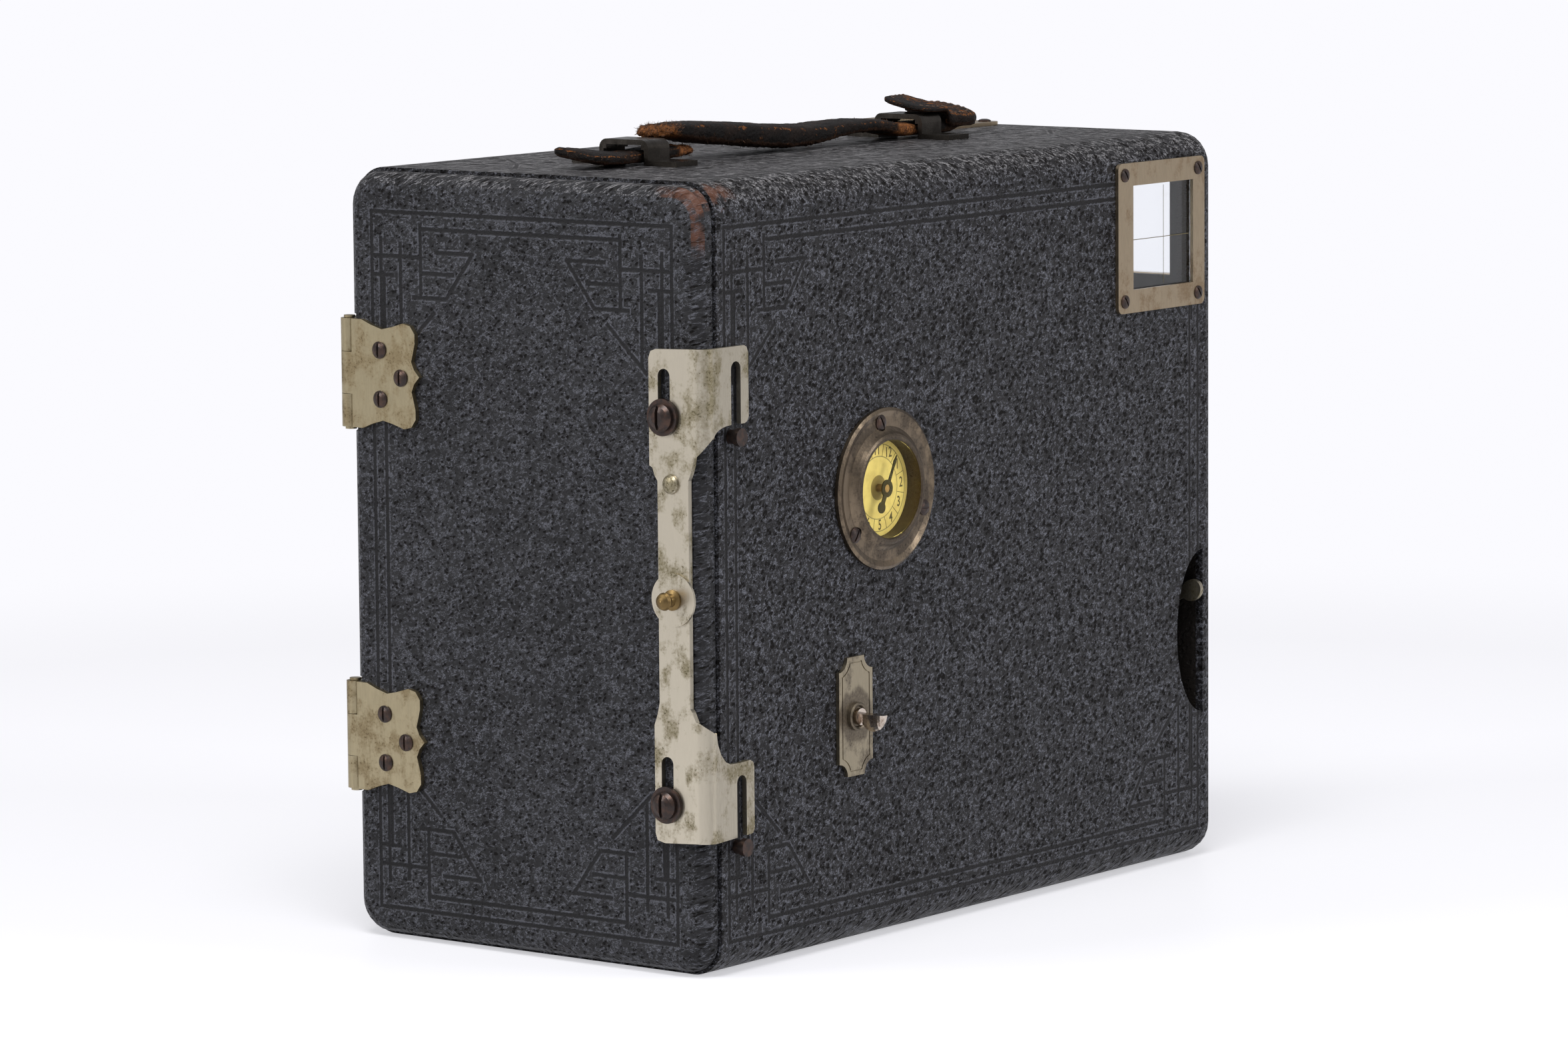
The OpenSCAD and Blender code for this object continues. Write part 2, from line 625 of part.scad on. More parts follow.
// Plates
module sheath(y) translate([sheath_x, y, sheath_z]) difference() {
  cube([sheath_w, sheath_t, sheath_h]);
  translate([sheath_rim-0.05, -1, sheath_rim])
    cube([plate_w+0.1, sheath_t+0.5, plate_h+0.6]);
}
module glass_plate(y) translate([sheath_x+sheath_rim, y+0.1, sheath_z+sheath_rim+0.05])
  cube([plate_w, plate_t, plate_h]);
module front_sheath() color(black) sheath(fall_y);
module front_plate() color([0.8,0.8,0.7,0.5]) glass_plate(fall_y);
module sheath_stack() color(black)
  for (k=[0:sheath_count-2]) sheath(stack_y+k*sheath_pitch);
module plate_glass_stack() color([0.8,0.8,0.7,0.5])
  for (k=[0:sheath_count-2]) glass_plate(stack_y+k*sheath_pitch);
module pressure_plate() color(steel) difference() {
  box([sheath_x+press_in, press_y, sheath_z+2*press_in],
      [sheath_x+sheath_w-press_in, press_y+1.6, sheath_z+sheath_h-2*press_in]);
  for (x=[-22,31], z=[-33,33]) translate([x, press_y-1, lens_z+z])
    rotate([-90,0,0]) cylinder(r=3, h=4, $fn=32);
}
module pressure_springs() color(steel) for (x=[-14,22])
  loft([for (i=[12:-1:0]) let (a=180*i/12, y=press_y+2+7.2*pow(sin(a),1.3),
      z=lens_z+36*cos(a))
    [[x-5,y-0.35,z],[x-5,y+0.35,z],[x+5,y+0.35,z],[x+5,y-0.35,z]]]);

// Door
module door_panel() color(black) difference() {
  translate([0,0,door_inset])
    board(W-2*door_inset, H-2*door_inset, edge_r-door_inset, yr-door_t, yr, face_r);
  for (z=hinge_z) translate([hx, hy, z-hinge_h/2-1])
    cylinder(r=knuckle_r+0.3, h=hinge_h+2, $fn=48);
  leaf_places(1) drill(0.9, 3.4);
  for (k=[0,1]) on_door(xs+9.65, screw_z[k]-latch_drop) drill(1.55, 3.4);
}
module door_rebate() color(wood) difference() {
  box([xi+0.85, yr-9, wall+0.8], [-xi-0.85, yr-door_t, H-wall-0.8]);
  for (x=[-14,22]) box([x-6.5, yr-10, lens_z-30], [x+6.5, yr-door_t+1, lens_z+30]);
  for (k=[0,1]) on_door(xs+9.65, screw_z[k]-latch_drop) drill(1.55, 6);
}

// Hinges
lp = [[5.2,12.3],[8,11.2],[11.2,10.3],[14,10.9],[17.4,11.9],[19.6,11.4],
  [20.9,9.6],[20.9,7.5],[20.4,5.5],[19.8,3.4],[20.6,1.6],[22.1,0]];
module leaf2d(own) let (sx=leaf_len/22.1, sy=hinge_h/24.6) difference() {
  polygon(concat([[0,-12.3*sy],[0,12.3*sy]], [for (p=lp) [p[0]*sx,p[1]*sy]],
    [for (i=[10:-1:0]) [lp[i][0]*sx,-lp[i][1]*sy]]));
  if (own) for (s=fs_x) translate([-1, s*(mid_k/2+9)-9])
    square([knuckle_r+1.15, 18]);
  else translate([-1,-mid_k/2-0.1]) square([knuckle_r+1.15, mid_k+0.2]);
  for (p=[[10.5,5.6],[16.7,-0.4],[10.6,-5.5]]) translate([p[0]*sx,p[1]*sy])
    circle(0.95, $fn=24);
}
// Screw places on the leaves: s = 1 door, s = -1 case.
module leaf_places(s) let (sx=leaf_len/22.1, sy=hinge_h/24.6)
  for (z=hinge_z, p=[[10.5,5.6],[16.7,-0.4],[10.6,-5.5]])
    if (s>0) on_door(hx-p[0]*sx, z+p[1]*sy) translate([0,0,leaf_t]) children();
    else on_right(hy-p[0]*sx, z+p[1]*sy) translate([0,0,leaf_t]) children();
module knuckles(own) for (z=hinge_z) difference() {
  translate([hx, hy, 0])
    if (own) translate([0,0,z-mid_k/2]) cylinder(r=knuckle_r, h=mid_k, $fn=48);
    else for (s=fs_x) translate([0,0,z+s*(mid_k/4+hinge_h/4+0.05)])
      cylinder(r=knuckle_r, h=(hinge_h-mid_k)/2-0.1, center=true, $fn=48);
  translate([hx, hy, z-20]) cylinder(r=pin_r+fit_gap, h=40, $fn=32);
}
module hinge_door_leaves() color(steel) {
  knuckles(true);
  difference() {
    for (z=hinge_z) translate([hx, yr+leaf_t, z]) rotate([90,0,0])
      linear_extrude(leaf_t-0.02) mirror([1,0]) leaf2d(true);
    for (z=hinge_z) translate([hx, hy, z-20]) cylinder(r=pin_r+0.5, h=40, $fn=32);
  }
}
module hinge_case_leaves() color(steel) {
  knuckles(false);
  difference() {
    for (z=hinge_z) translate([W/2+0.02, hy, z]) rotate([90,0,90])
      linear_extrude(leaf_t-0.02) mirror([1,0]) leaf2d(false);
    for (z=hinge_z) translate([hx, hy, z-20]) cylinder(r=pin_r+0.5, h=40, $fn=32);
  }
}
module hinge_pins() color(steel) for (z=hinge_z) translate([hx, hy, z]) {
  rod(pin_r, -hinge_h/2-0.1, hinge_h/2+0.1, 32);
  for (s=fs_x) translate([0,0,s*(hinge_h/2+0.35)])
    cylinder(r=pin_r+0.5, h=0.5, center=true, $fn=32);
}
module hinge_door_screws() color(steel) leaf_places(1) screw(1.95, 0.8, 0.9, 3.2, 90);
module hinge_case_screws() color(steel) leaf_places(-1) screw(1.95, 0.8, 0.9, 3.2, 20);

// Latch
function q(p) = [p[0]+xs, p[1]];
function qy(p) = [p[0]+yr, p[1]];
module slot2d(x, z0, z1, r) {
  translate([x-r, z0+r]) square([2*r, z1-z0-2*r]);
  for (z=[z0+r, z1-r]) translate([x,z]) circle(r, $fn=32);
}
module latch_plate() color(steel) {
  bl = xs+7.4+latch_bar_w/2;
  br = xs+7.4-latch_bar_w/2;
  e = bend_r-latch_gap;
  // bend edges: place of the slanted cut, its turn, and the side it takes away
  cuts = [[115.5,139.2,117.5,-47,-20], [30.6,57.5,56.25,34,0]];
  translate([0, lat_y+latch_t, 0]) rotate([90,0,0]) linear_extrude(latch_t)
    difference() {
      polygon(concat([for (p=[[13.85,136.8],[13.25,138.3],[11.85,138.8],[e,139.2],
        [e,115.5],[e+0.35,113.6],[e+1,111.6]]) q(p)], [[br,110.4],[br,60.3]],
        [for (p=[[e+1,59.6],[e,57.5],[e,30.6],[10.5,30],[12.6,30.5],[13.15,32]])
          q(p)], [q([13.15,56]),q([12.3,58.3]),[bl,61],[bl,109.9],
          q([12.4,111]),q([13.05,112.8]),q([13.85,113.2])]));
      slot2d(xs+9.65, 120, 120+slot_h, 1.65);
      slot2d(xs+9.65, 34.6, 34.6+slot_h, 1.65);
    }
  translate([lat_x-latch_t, 0, 0]) rotate([90,0,90]) linear_extrude(latch_t)
    difference() {
      union() {
        polygon(concat([for (i=[0:6]) [yr-7.8+6.2*cos(i*15), 119.5+2.6*sin(i*15)]],
          [for (p=[[-11.2,122.1],[-12.6,122.1],[-13.5,122.5],[-14,123.4],[-14,137.5],
          [-13.4,138.8],[-12.5,139.2]]) qy(p)], [[lat_y-bend_r,139.2],
          [lat_y-bend_r,119.5]]));
        polygon(concat([for (p=[[-2,52.5],[-3.2,49.9],[-4.8,48.2],[-6.5,47.5],
          [-10,47.4],[-13.5,47.6],[-14.6,47],[-14.9,46],[-14.9,32.2],[-14.4,31.3],
          [-13.5,31.1],[-8.1,30.9]]) qy(p)], [[lat_y-bend_r,30.6],
          [lat_y-bend_r,55]]));
      }
      slot2d(yr-9.5, 110, 135.9, stud_r+0.1);
      slot2d(yr-10.4, 20, 44.6, stud_r+0.1);
    }
  translate([lat_x+bend_r, lat_y-bend_r, 0]) for (c=cuts) difference() {
    translate([0,0,c[0]]) rotate([0,0,90]) rotate_extrude(angle=90, $fn=64)
      translate([bend_r,0]) square([latch_t, c[1]-c[0]]);
    translate([0,0,c[2]]) rotate([0,0,225]) rotate([0,c[3],0])
      translate([-10,-10,c[4]]) cube(20);
  }
  translate([xs+7.25, lat_y+latch_t-0.01, 84.1]) rotate([-90,0,0])
    rod(boss_r, 0, 0.6, 64);
}
module latch_knob() color(brass) translate([xs+7.25, lat_y+latch_t+0.6, 84.1])
  rotate([-90,0,0]) rotate_extrude($fn=48) polygon([[0,0],[2.3,0],[2.3,0.5],
    [1.5,0.9],[1.3,1.8],[1.7,2.4],[2,3.1],[1.7,3.8],[0.9,4.3],[0,4.5]]);
module latch_rivet() color(steel) translate([xs+7.85, lat_y+latch_t, 109.4])
  rotate([-90,0,0]) rotate_extrude($fn=48) polygon([[0,0],[2.2,0],[2.05,0.5],
    [1.6,0.95],[0.8,1.25],[0,1.35]]);
module latch_washers() color(steel) for (k=[0,1])
  on_door(xs+9.65, screw_z[k]-latch_drop) difference() {
    rod(4.1, latch_gap+latch_t+0.1, latch_gap+latch_t+0.9);
    rod(1.58, -9, 9, 32);
  }
module latch_screws() color(steel) for (k=[0,1])
  on_door(xs+9.65, screw_z[k]-latch_drop) translate([0,0,latch_gap+latch_t+0.92])
    screw(3.1, 1.9, 1.55, 5.6, 90);
module latch_studs() color(steel) for (k=[0,1])
  on_side(yr-9.5-0.9*k, stud_z[k]-latch_drop) {
    rod(stud_r, 0, latch_gap+latch_t+0.3, 32);
    rod(stud_r-0.4, -4, 0, 32);
    rod(stud_r+0.4, latch_gap+latch_t+0.3, latch_gap+latch_t+1.6, 32);
  }

// Handle
module handle_loops() color(steel) for (y=[yf+54.5, yr-41.25])
  translate([0, y, H+0.02]) rotate([90,0,0])
    linear_extrude(loop_strip, center=true) difference() {
      union() {
        translate([-loop_w/2,0]) square([loop_w, loop_h-2]);
        translate([-loop_w/2+2,0]) square([loop_w-4, loop_h]);
        for (s=fs_x) translate([s*(loop_w/2-2), loop_h-2]) circle(2, $fn=32);
        translate([-loop_w/2-8,0]) square([loop_w+16, loop_t]);
      }
      translate([-loop_w/2+loop_t,-1]) square([loop_w-2*loop_t, loop_h-loop_t]);
      translate([-loop_w/2+loop_t+0.8,0])
        square([loop_w-2*loop_t-1.6, loop_h-loop_t]);
    }
// Strap and its stitched end: rings y, z above the case, width, thickness, tilt.
module strip(s) loft([for (p=s) ring(p[0], 0, H+p[1], p[2], p[3], p[4])]);
module handle_strap() color([0.16,0.09,0.05])
  let (w=strap_w, h=loop_h, a=yr-100, b=yf+100) {
    strip([[a+51.6,6.8,9.6,1.8,-4],[a+50.8,6.8,11.4,2.8,-4],[a+48,6.8,w-0.4,3.6,-3],
      [a+43,6.55,w,4.4,0],[a+36,5.9,w,5,0],[a+29,5.3,w,5.2,0],[15,4.05,w,5.5,0],
      [7,3.4,w,5.4,0],[0,3.15,w,4.9,0],[b-7,3.4,w,4.3,0],[b-14,3.95,w-0.2,3.5,0],
      [b-24,4.2,w-0.8,3,0],[b-30,3.8,w-1.4,3.1,0],[b-34,3.1,w-2,3.2,0],
      [b-37,2.5,10.2,3.2,0],[b-39,2.25,10.2,3.2,0],[b-57,2.2,10.2,3.2,0],
      [b-64,3.4,8,2,0]]);
    strip([[b-41.2,h+2.4,5,1.1,12],[b-42.2,h+2.25,9.6,1.5,12],
      [b-44.5,h+2.15,13.2,1.5,12],[b-47,h+2.1,14.4,1.5,12],
      [b-52.6,h+2.05,14.7,1.5,12],[b-53.9,5.2,14.7,4,12],[b-59,4.9,14.6,4,12],
      [b-63.5,4.7,13.6,3.9,12],[b-66.3,4.55,11,3.6,12],[b-67.9,4.4,6,2.6,12]]);
  }
module handle_torn_tab() color([0.16,0.09,0.05]) let (a=yr-100)
  strip([[a+81.5,3.5,8.6,1.8,8],[a+80.3,3.3,11.5,2.5,8],[a+76,2.8,12.8,2.8,6],
    [a+71,2.2,12.6,2.8,3],[a+67,1.8,11.4,2.7,0],[a+65,1.7,9.8,2.7,0],
    [a+56,2,9.8,3,0],[a+52,2.2,9.8,3.2,0],[a+47,2.4,10,2.6,0],
    [a+43.6,2.3,9.6,2.1,0],[a+42.4,2.3,8,1.6,0]]);

// Screws: those of one body share a node, each as a solid of its own.
module case_screws() {
  finder_screws();
  counter_screws();
  hinge_case_screws();
}
module door_screws() {
  hinge_door_screws();
  latch_screws();
}

case_top();
case_base();
case_counter_side();
case_hinge_side();
front_board();
magazine_liner();
plate_ledge();
lens_partition();
finder_shelf();
lens_barrel();
lens_glasses();
lens_ring();
stop_disc();
stop_knob();
shutter_post();
shutter_spring();
shutter_lever();
shutter_sector();
side_finder_box();
top_finder_box();
finder_mirrors();
finder_lens_frames();
finder_lenses();
side_finder_plate();
top_finder_plate();
finder_glasses();
case_screws();
counter_bezel();
counter_dial();
counter_glass();
counter_hand();
counter_wheel();
counter_bridge();
key_plate();
change_key();
key_crank();
release_bar();
bar_guides();
release_spring();
front_sheath();
front_plate();
sheath_stack();
plate_glass_stack();
pressure_plate();
pressure_springs();
door_panel();
door_rebate();
hinge_door_leaves();
hinge_case_leaves();
hinge_pins();
door_screws();
latch_plate();
latch_knob();
latch_rivet();
latch_washers();
latch_studs();
handle_loops();
handle_strap();
handle_torn_tab();
tripod_bushes();
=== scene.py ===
"""Looks of the leather covered box camera: skins, worn metal, dial, finders and torn handle.

Lengths are written in millimetres and turned into metres by MM. +Z is up, the lens looks
along -Y, the door is at +Y and the counter side at -X. The origin is under the case's middle.
"""
import math
import random

import bmesh
import bpy
from mathutils import Matrix, Vector, noise
from mathutils.bvhtree import BVHTree


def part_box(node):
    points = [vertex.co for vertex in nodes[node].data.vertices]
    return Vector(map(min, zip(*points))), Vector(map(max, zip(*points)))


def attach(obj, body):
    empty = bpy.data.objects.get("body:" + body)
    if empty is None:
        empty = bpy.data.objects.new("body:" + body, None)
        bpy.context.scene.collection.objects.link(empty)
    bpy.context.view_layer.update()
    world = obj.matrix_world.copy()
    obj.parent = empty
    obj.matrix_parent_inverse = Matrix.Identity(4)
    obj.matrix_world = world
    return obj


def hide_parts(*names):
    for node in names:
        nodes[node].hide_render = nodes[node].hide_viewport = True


MM = 0.001
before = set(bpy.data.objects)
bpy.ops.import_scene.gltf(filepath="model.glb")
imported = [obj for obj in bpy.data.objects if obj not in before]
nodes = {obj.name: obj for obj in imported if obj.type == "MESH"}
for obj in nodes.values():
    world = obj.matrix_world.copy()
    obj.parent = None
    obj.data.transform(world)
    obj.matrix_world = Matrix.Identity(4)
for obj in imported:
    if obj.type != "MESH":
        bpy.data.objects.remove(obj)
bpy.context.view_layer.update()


# Places taken from the CAD


def edges(node):
    """Lowest and highest corner of a CAD node in millimetres."""
    lo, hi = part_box(node)
    return Vector(lo) / MM, Vector(hi) / MM


CASE_LO, CASE_HI = edges("case_counter_side")
CASE_HI.x = edges("case_hinge_side")[1].x
DOOR_LO, DOOR_HI = edges("door_panel")
TOP = CASE_HI.z
SIDE = CASE_LO.x
BACK = DOOR_HI.y
FRONT = edges("front_board")[0].y
CASE_HALF_W = (CASE_HI.x - CASE_LO.x) / 2
CASE_HALF_L = (BACK - FRONT) / 2
CASE_HALF_H = TOP / 2
CASE_MIDDLE = ((CASE_LO.x + CASE_HI.x) / 2, (FRONT + BACK) / 2, CASE_HALF_H)
DOOR_HALF_W = (DOOR_HI.x - DOOR_LO.x) / 2
DOOR_HALF_H = (DOOR_HI.z - DOOR_LO.z) / 2
LATCH_LO, LATCH_HI = edges("latch_plate")
KEY_LO, KEY_HI = edges("key_plate")
KEY_Y = (KEY_LO.y + KEY_HI.y) / 2
KEY_Z = (KEY_LO.z + KEY_HI.z) / 2
DIAL_LO, DIAL_HI = edges("counter_dial")
DIAL_Y = (DIAL_LO.y + DIAL_HI.y) / 2
DIAL_Z = (DIAL_LO.z + DIAL_HI.z) / 2
GLASS_LO, GLASS_HI = edges("counter_glass")
DIAL_RIM = (GLASS_HI.z - GLASS_LO.z) / 2 + 1.6


# Shader values


class Num:
    """A shader number that takes plain arithmetic, so that a pattern reads as a formula."""

    def __init__(self, maker, socket):
        self.maker = maker
        self.socket = socket

    def __add__(self, other):
        return self.maker.math("ADD", self, other)

    def __radd__(self, other):
        return self.maker.math("ADD", other, self)

    def __sub__(self, other):
        return self.maker.math("SUBTRACT", self, other)

    def __rsub__(self, other):
        return self.maker.math("SUBTRACT", other, self)

    def __mul__(self, other):
        return self.maker.math("MULTIPLY", self, other)

    def __abs__(self):
        return self.maker.math("ABSOLUTE", self)


class Maker:
    """Builds one material out of nodes."""

    def __init__(self, name):
        self.mat = bpy.data.materials.new(name)
        self.mat.use_nodes = True
        self.tree = self.mat.node_tree
        self.tree.nodes.clear()
        self.shader = self.add("ShaderNodeBsdfPrincipled")
        self.out = self.add("ShaderNodeOutputMaterial")
        self.tree.links.new(self.shader.outputs[0], self.out.inputs[0])
        place = self.add("ShaderNodeTexCoord").outputs["Object"]
        scaled = self.add("ShaderNodeVectorMath", operation="SCALE")
        self.tree.links.new(place, scaled.inputs[0])
        scaled.inputs["Scale"].default_value = 1 / MM
        self.place = scaled.outputs[0]
        axes = self.add("ShaderNodeSeparateXYZ")
        self.tree.links.new(self.place, axes.inputs[0])
        self.x, self.y, self.z = (Num(self, axes.outputs[i]) for i in range(3))

    def add(self, kind, **settings):
        """A new node of a kind with its settings."""
        node = self.tree.nodes.new(kind)
        for key, value in settings.items():
            setattr(node, key, value)
        return node

    def plug(self, value, socket):
        """Links a shader value to a socket, or writes a plain one into it."""
        if isinstance(value, Num):
            self.tree.links.new(value.socket, socket)
        elif isinstance(value, bpy.types.NodeSocket):
            self.tree.links.new(value, socket)
        else:
            socket.default_value = value

    def math(self, operation, *values):
        node = self.add("ShaderNodeMath", operation=operation)
        for value, socket in zip(values, node.inputs):
            self.plug(value, socket)
        return Num(self, node.outputs[0])

    def least(self, a, b):
        return self.math("MINIMUM", a, b)

    def most(self, a, b):
        return self.math("MAXIMUM", a, b)

    def length(self, *parts):
        """Length of a vector with two or three parts."""
        total = parts[0] * parts[0]
        for part in parts[1:]:
            total = total + part * part
        return self.math("SQRT", total)

    def step(self, value, low, high):
        """0 below low, 1 above high, smooth between."""
        node = self.add("ShaderNodeMapRange", interpolation_type="SMOOTHSTEP")
        for key, item in zip(("Value", "From Min", "From Max"), (value, low, high)):
            self.plug(item, node.inputs[key])
        return Num(self, node.outputs[0])

    def below(self, value, low, high):
        """1 below low, 0 above high, smooth between."""
        return 1.0 - self.step(value, low, high)

    def along(self, direction, stretch):
        """Object place squeezed along a direction, so that a pattern on it comes out longer."""
        unit = Vector(direction).normalized()
        dot = self.add("ShaderNodeVectorMath", operation="DOT_PRODUCT")
        self.tree.links.new(self.place, dot.inputs[0])
        dot.inputs[1].default_value = unit
        part = self.add("ShaderNodeVectorMath", operation="SCALE")
        part.inputs[0].default_value = unit * (1 / stretch - 1)
        self.tree.links.new(dot.outputs["Value"], part.inputs["Scale"])
        total = self.add("ShaderNodeVectorMath", operation="ADD")
        self.tree.links.new(self.place, total.inputs[0])
        self.tree.links.new(part.outputs[0], total.inputs[1])
        return total.outputs[0]

    def noise(self, size, detail=3.0, rough=0.55, stretch=(1, 1, 1), seed=0.0, warp=0.0, place=None):
        """Noise with features of about size millimetres."""
        mapping = self.add("ShaderNodeMapping")
        self.tree.links.new(place or self.place, mapping.inputs[0])
        mapping.inputs["Scale"].default_value = [s / size for s in stretch]
        mapping.inputs["Location"].default_value = [seed, seed * 1.7, -seed]
        node = self.add("ShaderNodeTexNoise")
        self.tree.links.new(mapping.outputs[0], node.inputs["Vector"])
        node.inputs["Scale"].default_value = 1.0
        node.inputs["Detail"].default_value = detail
        node.inputs["Roughness"].default_value = rough
        node.inputs["Distortion"].default_value = warp
        return Num(self, node.outputs[0])

    def cells(self, size, bend=0.35, smooth=0.0, place=None):
        """Cell pattern with cells of about size millimetres, its borders bent by noise."""
        place = place or self.place
        mapping = self.add("ShaderNodeMapping")
        mapping.inputs["Scale"].default_value = (1 / size,) * 3
        wobble = self.add("ShaderNodeTexNoise")
        self.tree.links.new(place, wobble.inputs["Vector"])
        wobble.inputs["Scale"].default_value = 0.7 / size
        wobble.inputs["Detail"].default_value = 2.0
        bent = self.add("ShaderNodeVectorMath", operation="MULTIPLY_ADD")
        self.tree.links.new(wobble.outputs["Color"], bent.inputs[0])
        bent.inputs[1].default_value = (bend * 2 * size,) * 3
        self.tree.links.new(place, bent.inputs[2])
        self.tree.links.new(bent.outputs[0], mapping.inputs[0])
        node = self.add("ShaderNodeTexVoronoi", feature="SMOOTH_F1" if smooth else "F1")
        self.tree.links.new(mapping.outputs[0], node.inputs["Vector"])
        node.inputs["Scale"].default_value = 1.0
        if smooth:
            node.inputs["Smoothness"].default_value = smooth
        return Num(self, node.outputs["Distance"])

    def normal(self):
        """The surface normal's three parts in the object's own directions."""
        node = self.add("ShaderNodeSeparateXYZ")
        self.tree.links.new(self.add("ShaderNodeTexCoord").outputs["Normal"], node.inputs[0])
        return [Num(self, node.outputs[i]) for i in range(3)]

    def mix(self, amount, low, high):
        """Colour that goes from low to high with amount."""
        node = self.add("ShaderNodeMix", data_type="RGBA")
        self.plug(amount, node.inputs[0])
        for value, socket in ((low, node.inputs[6]), (high, node.inputs[7])):
            self.plug(value if isinstance(value, bpy.types.NodeSocket) else (*value, 1), socket)
        return node.outputs[2]

    def bump(self, height, depth):
        """Relief from height (0 to 1), depth in millimetres."""
        node = self.add("ShaderNodeBump")
        node.inputs["Distance"].default_value = depth * MM
        self.plug(height, node.inputs["Height"])
        self.tree.links.new(node.outputs[0], self.shader.inputs["Normal"])

    def set(self, **values):
        """Sets the shader's inputs by name and gives the material."""
        for key, value in values.items():
            self.plug(value, self.shader.inputs[key.replace("_", " ")])
        return self.mat


def times(colour, gain):
    """A colour made lighter or darker, 1 at most."""
    return [min(1.0, part * gain) for part in colour]


# Tooled lines of the leather


# Distance of the border from the edge of a face, and of its second line from the first
FRAME_INSET = 7.6
SECOND_LINE = 3.5
# The second line ends this far from a corner, where the fret takes over
FRET_REACH = 14.3
# Bars of the corner fret: middle and half size across, middle and half size up, from the corner
FRET_BARS = (
    (8.0, 8.0, 0.0, 0.0),
    (0.0, 0.0, 22.0, 22.0),
    (14.3, 0.0, 6.0, 3.4),
    (8.4, 0.0, 19.0, 12.0),
    (2.7, 0.0, 20.0, 14.0),
    (24.1, 5.3, 8.6, 0.0),
    (7.2, 6.3, 9.9, 0.0),
    (3.0, 3.0, 14.2, 0.0),
    (16.7, 4.5, 18.9, 0.0),
    (19.0, 4.6, 13.4, 0.0),
    (14.3, 0.0, 14.4, 4.4),
)
# Slanting bars: from across, up to across, up
FRET_SLANTS = ((29.4, 8.6, 21.8, 18.7), (18.0, 22.3, 7.3, 32.4))
# Distances from a line's middle where the groove fades, and the place and width of its rim
GROOVE_EDGE = (0.25, 0.55)
RIM_MIDDLE = 0.7
RIM_EDGE = (0.06, 0.24)


def tooling(m, across, up, half_w, half_h):
    """Embossed lines: a border and a fret in each corner. Gives the groove and its lit rims."""
    du = half_w - FRAME_INSET - abs(across)
    dv = half_h - FRAME_INSET - abs(up)
    border = abs(m.least(du, dv))
    second = m.most(abs(m.least(du, dv) - SECOND_LINE), FRET_REACH - m.most(du, dv))
    groove = m.least(border, second)
    for cu, hu, cv, hv in FRET_BARS:
        groove = m.least(groove, m.most(abs(du - cu) - hu, abs(dv - cv) - hv))
    for u0, v0, u1, v1 in FRET_SLANTS:
        length = math.hypot(u1 - u0, v1 - v0)
        cu, cv = (u1 - u0) / length, (v1 - v0) / length
        along = (du - u0) * cu + (dv - v0) * cv
        beside = (du - u0) * -cv + (dv - v0) * cu
        groove = m.least(groove, m.most(abs(along - length / 2) - length / 2, abs(beside)))
    inside = m.step(m.least(du, dv), -0.9, -0.6)
    rims = m.below(abs(groove - RIM_MIDDLE), *RIM_EDGE)
    return m.below(groove, *GROOVE_EDGE) * inside, rims * inside


def tooled_faces(m, faces, normal):
    """The tooled lines of several faces together: grooves and rims.

    faces lists (normal axis, half width, half height, middle).
    """
    axes = {"x": (m.y, m.z), "y": (m.x, m.z), "z": (m.x, m.y)}
    grooves, rims = 0.0, 0.0
    for axis, half_w, half_h, mid in faces:
        across, up = axes[axis]
        flat = m.step(abs(normal["xyz".index(axis)]), 0.93, 0.985)
        groove, rim = tooling(m, across, up - mid, half_w, half_h)
        grooves = m.most(grooves, groove * flat)
        rims = m.most(rims, rim * flat)
    return grooves, rims


# Leather


# Radius of the case's edges and thickness of the leather on its boards
EDGE_ROUND = 6.5
SKIN_THICK = 1.7
# Colour of the painted shade in the leather's pits, on one side of its folds and in the tooled grooves
LEATHER_SHADE = (0.003, 0.0023, 0.002)
# Painted highlight on the folds' lit side, and a paler painted highlight that also stands for dust on top
# faces
LEATHER_LIT = (0.12, 0.124, 0.145)
LEATHER_TOP_HIGHLIGHT_AND_DUST = (0.19, 0.185, 0.19)
LEATHER_CRUMBS = (0.30, 0.27, 0.23)
LEATHER_SCUFFED = (0.10, 0.042, 0.025)
BARE_WOOD = ((0.007, 0.006, 0.0055), (0.022, 0.019, 0.017))
WOOD_STRETCH = (1, 1, 0.06)
# The leather's folds run along this direction and are this much longer than wide
GRAIN_SLANT = (-1, -1, 0.35)
GRAIN_STRETCH = 5.0
FOLD_SIZE = 1.1
# A fold rises where the same noise, shifted by this much, is lower by these amounts: its rising side gets a
# painted highlight, its falling side painted shade
FOLD_SHIFT = 0.15
FOLD_RISE = (-0.01, 0.06)
# Distances from the top rear corner where its rubbing fades
RUBBED_CORNER = (9.0, 15.0)


def depth_below(m):
    """How deep a place of the closed case lies below its rounded outside, in millimetres."""
    sizes = zip((m.x, m.y, m.z), CASE_MIDDLE, (CASE_HALF_W, CASE_HALF_L, CASE_HALF_H))
    over = [abs(part - mid) - (half - EDGE_ROUND) for part, mid, half in sizes]
    away = m.length(*[m.most(part, 0.0) for part in over])
    return EDGE_ROUND - away - m.least(m.most(m.most(over[0], over[1]), over[2]), 0.0)


def worn_skin(m, skin, normal):
    """Leather scuffed to brown along some edges and rubbed bare at the top rear corner."""
    edge = 1.0 - m.most(m.most(abs(normal[0]), abs(normal[1])), abs(normal[2]))
    scuff = m.step(edge + (m.noise(5.5, 5.0, 0.7, seed=9.0) - 0.5) * 0.9, 0.31, 0.5)
    corner = m.below(m.length(m.x - SIDE, m.y - BACK, m.z - TOP), *RUBBED_CORNER)
    rubbed = m.step(edge + (m.noise(3.0, 4.0, 0.7, seed=11.0) - 0.5) * 0.6, 0.08, 0.25) * corner
    worn = m.most(scuff * m.step(m.noise(30, 2.0, seed=5.0), 0.5, 0.68), rubbed * 0.7)
    return m.mix(worn, skin, LEATHER_SCUFFED)


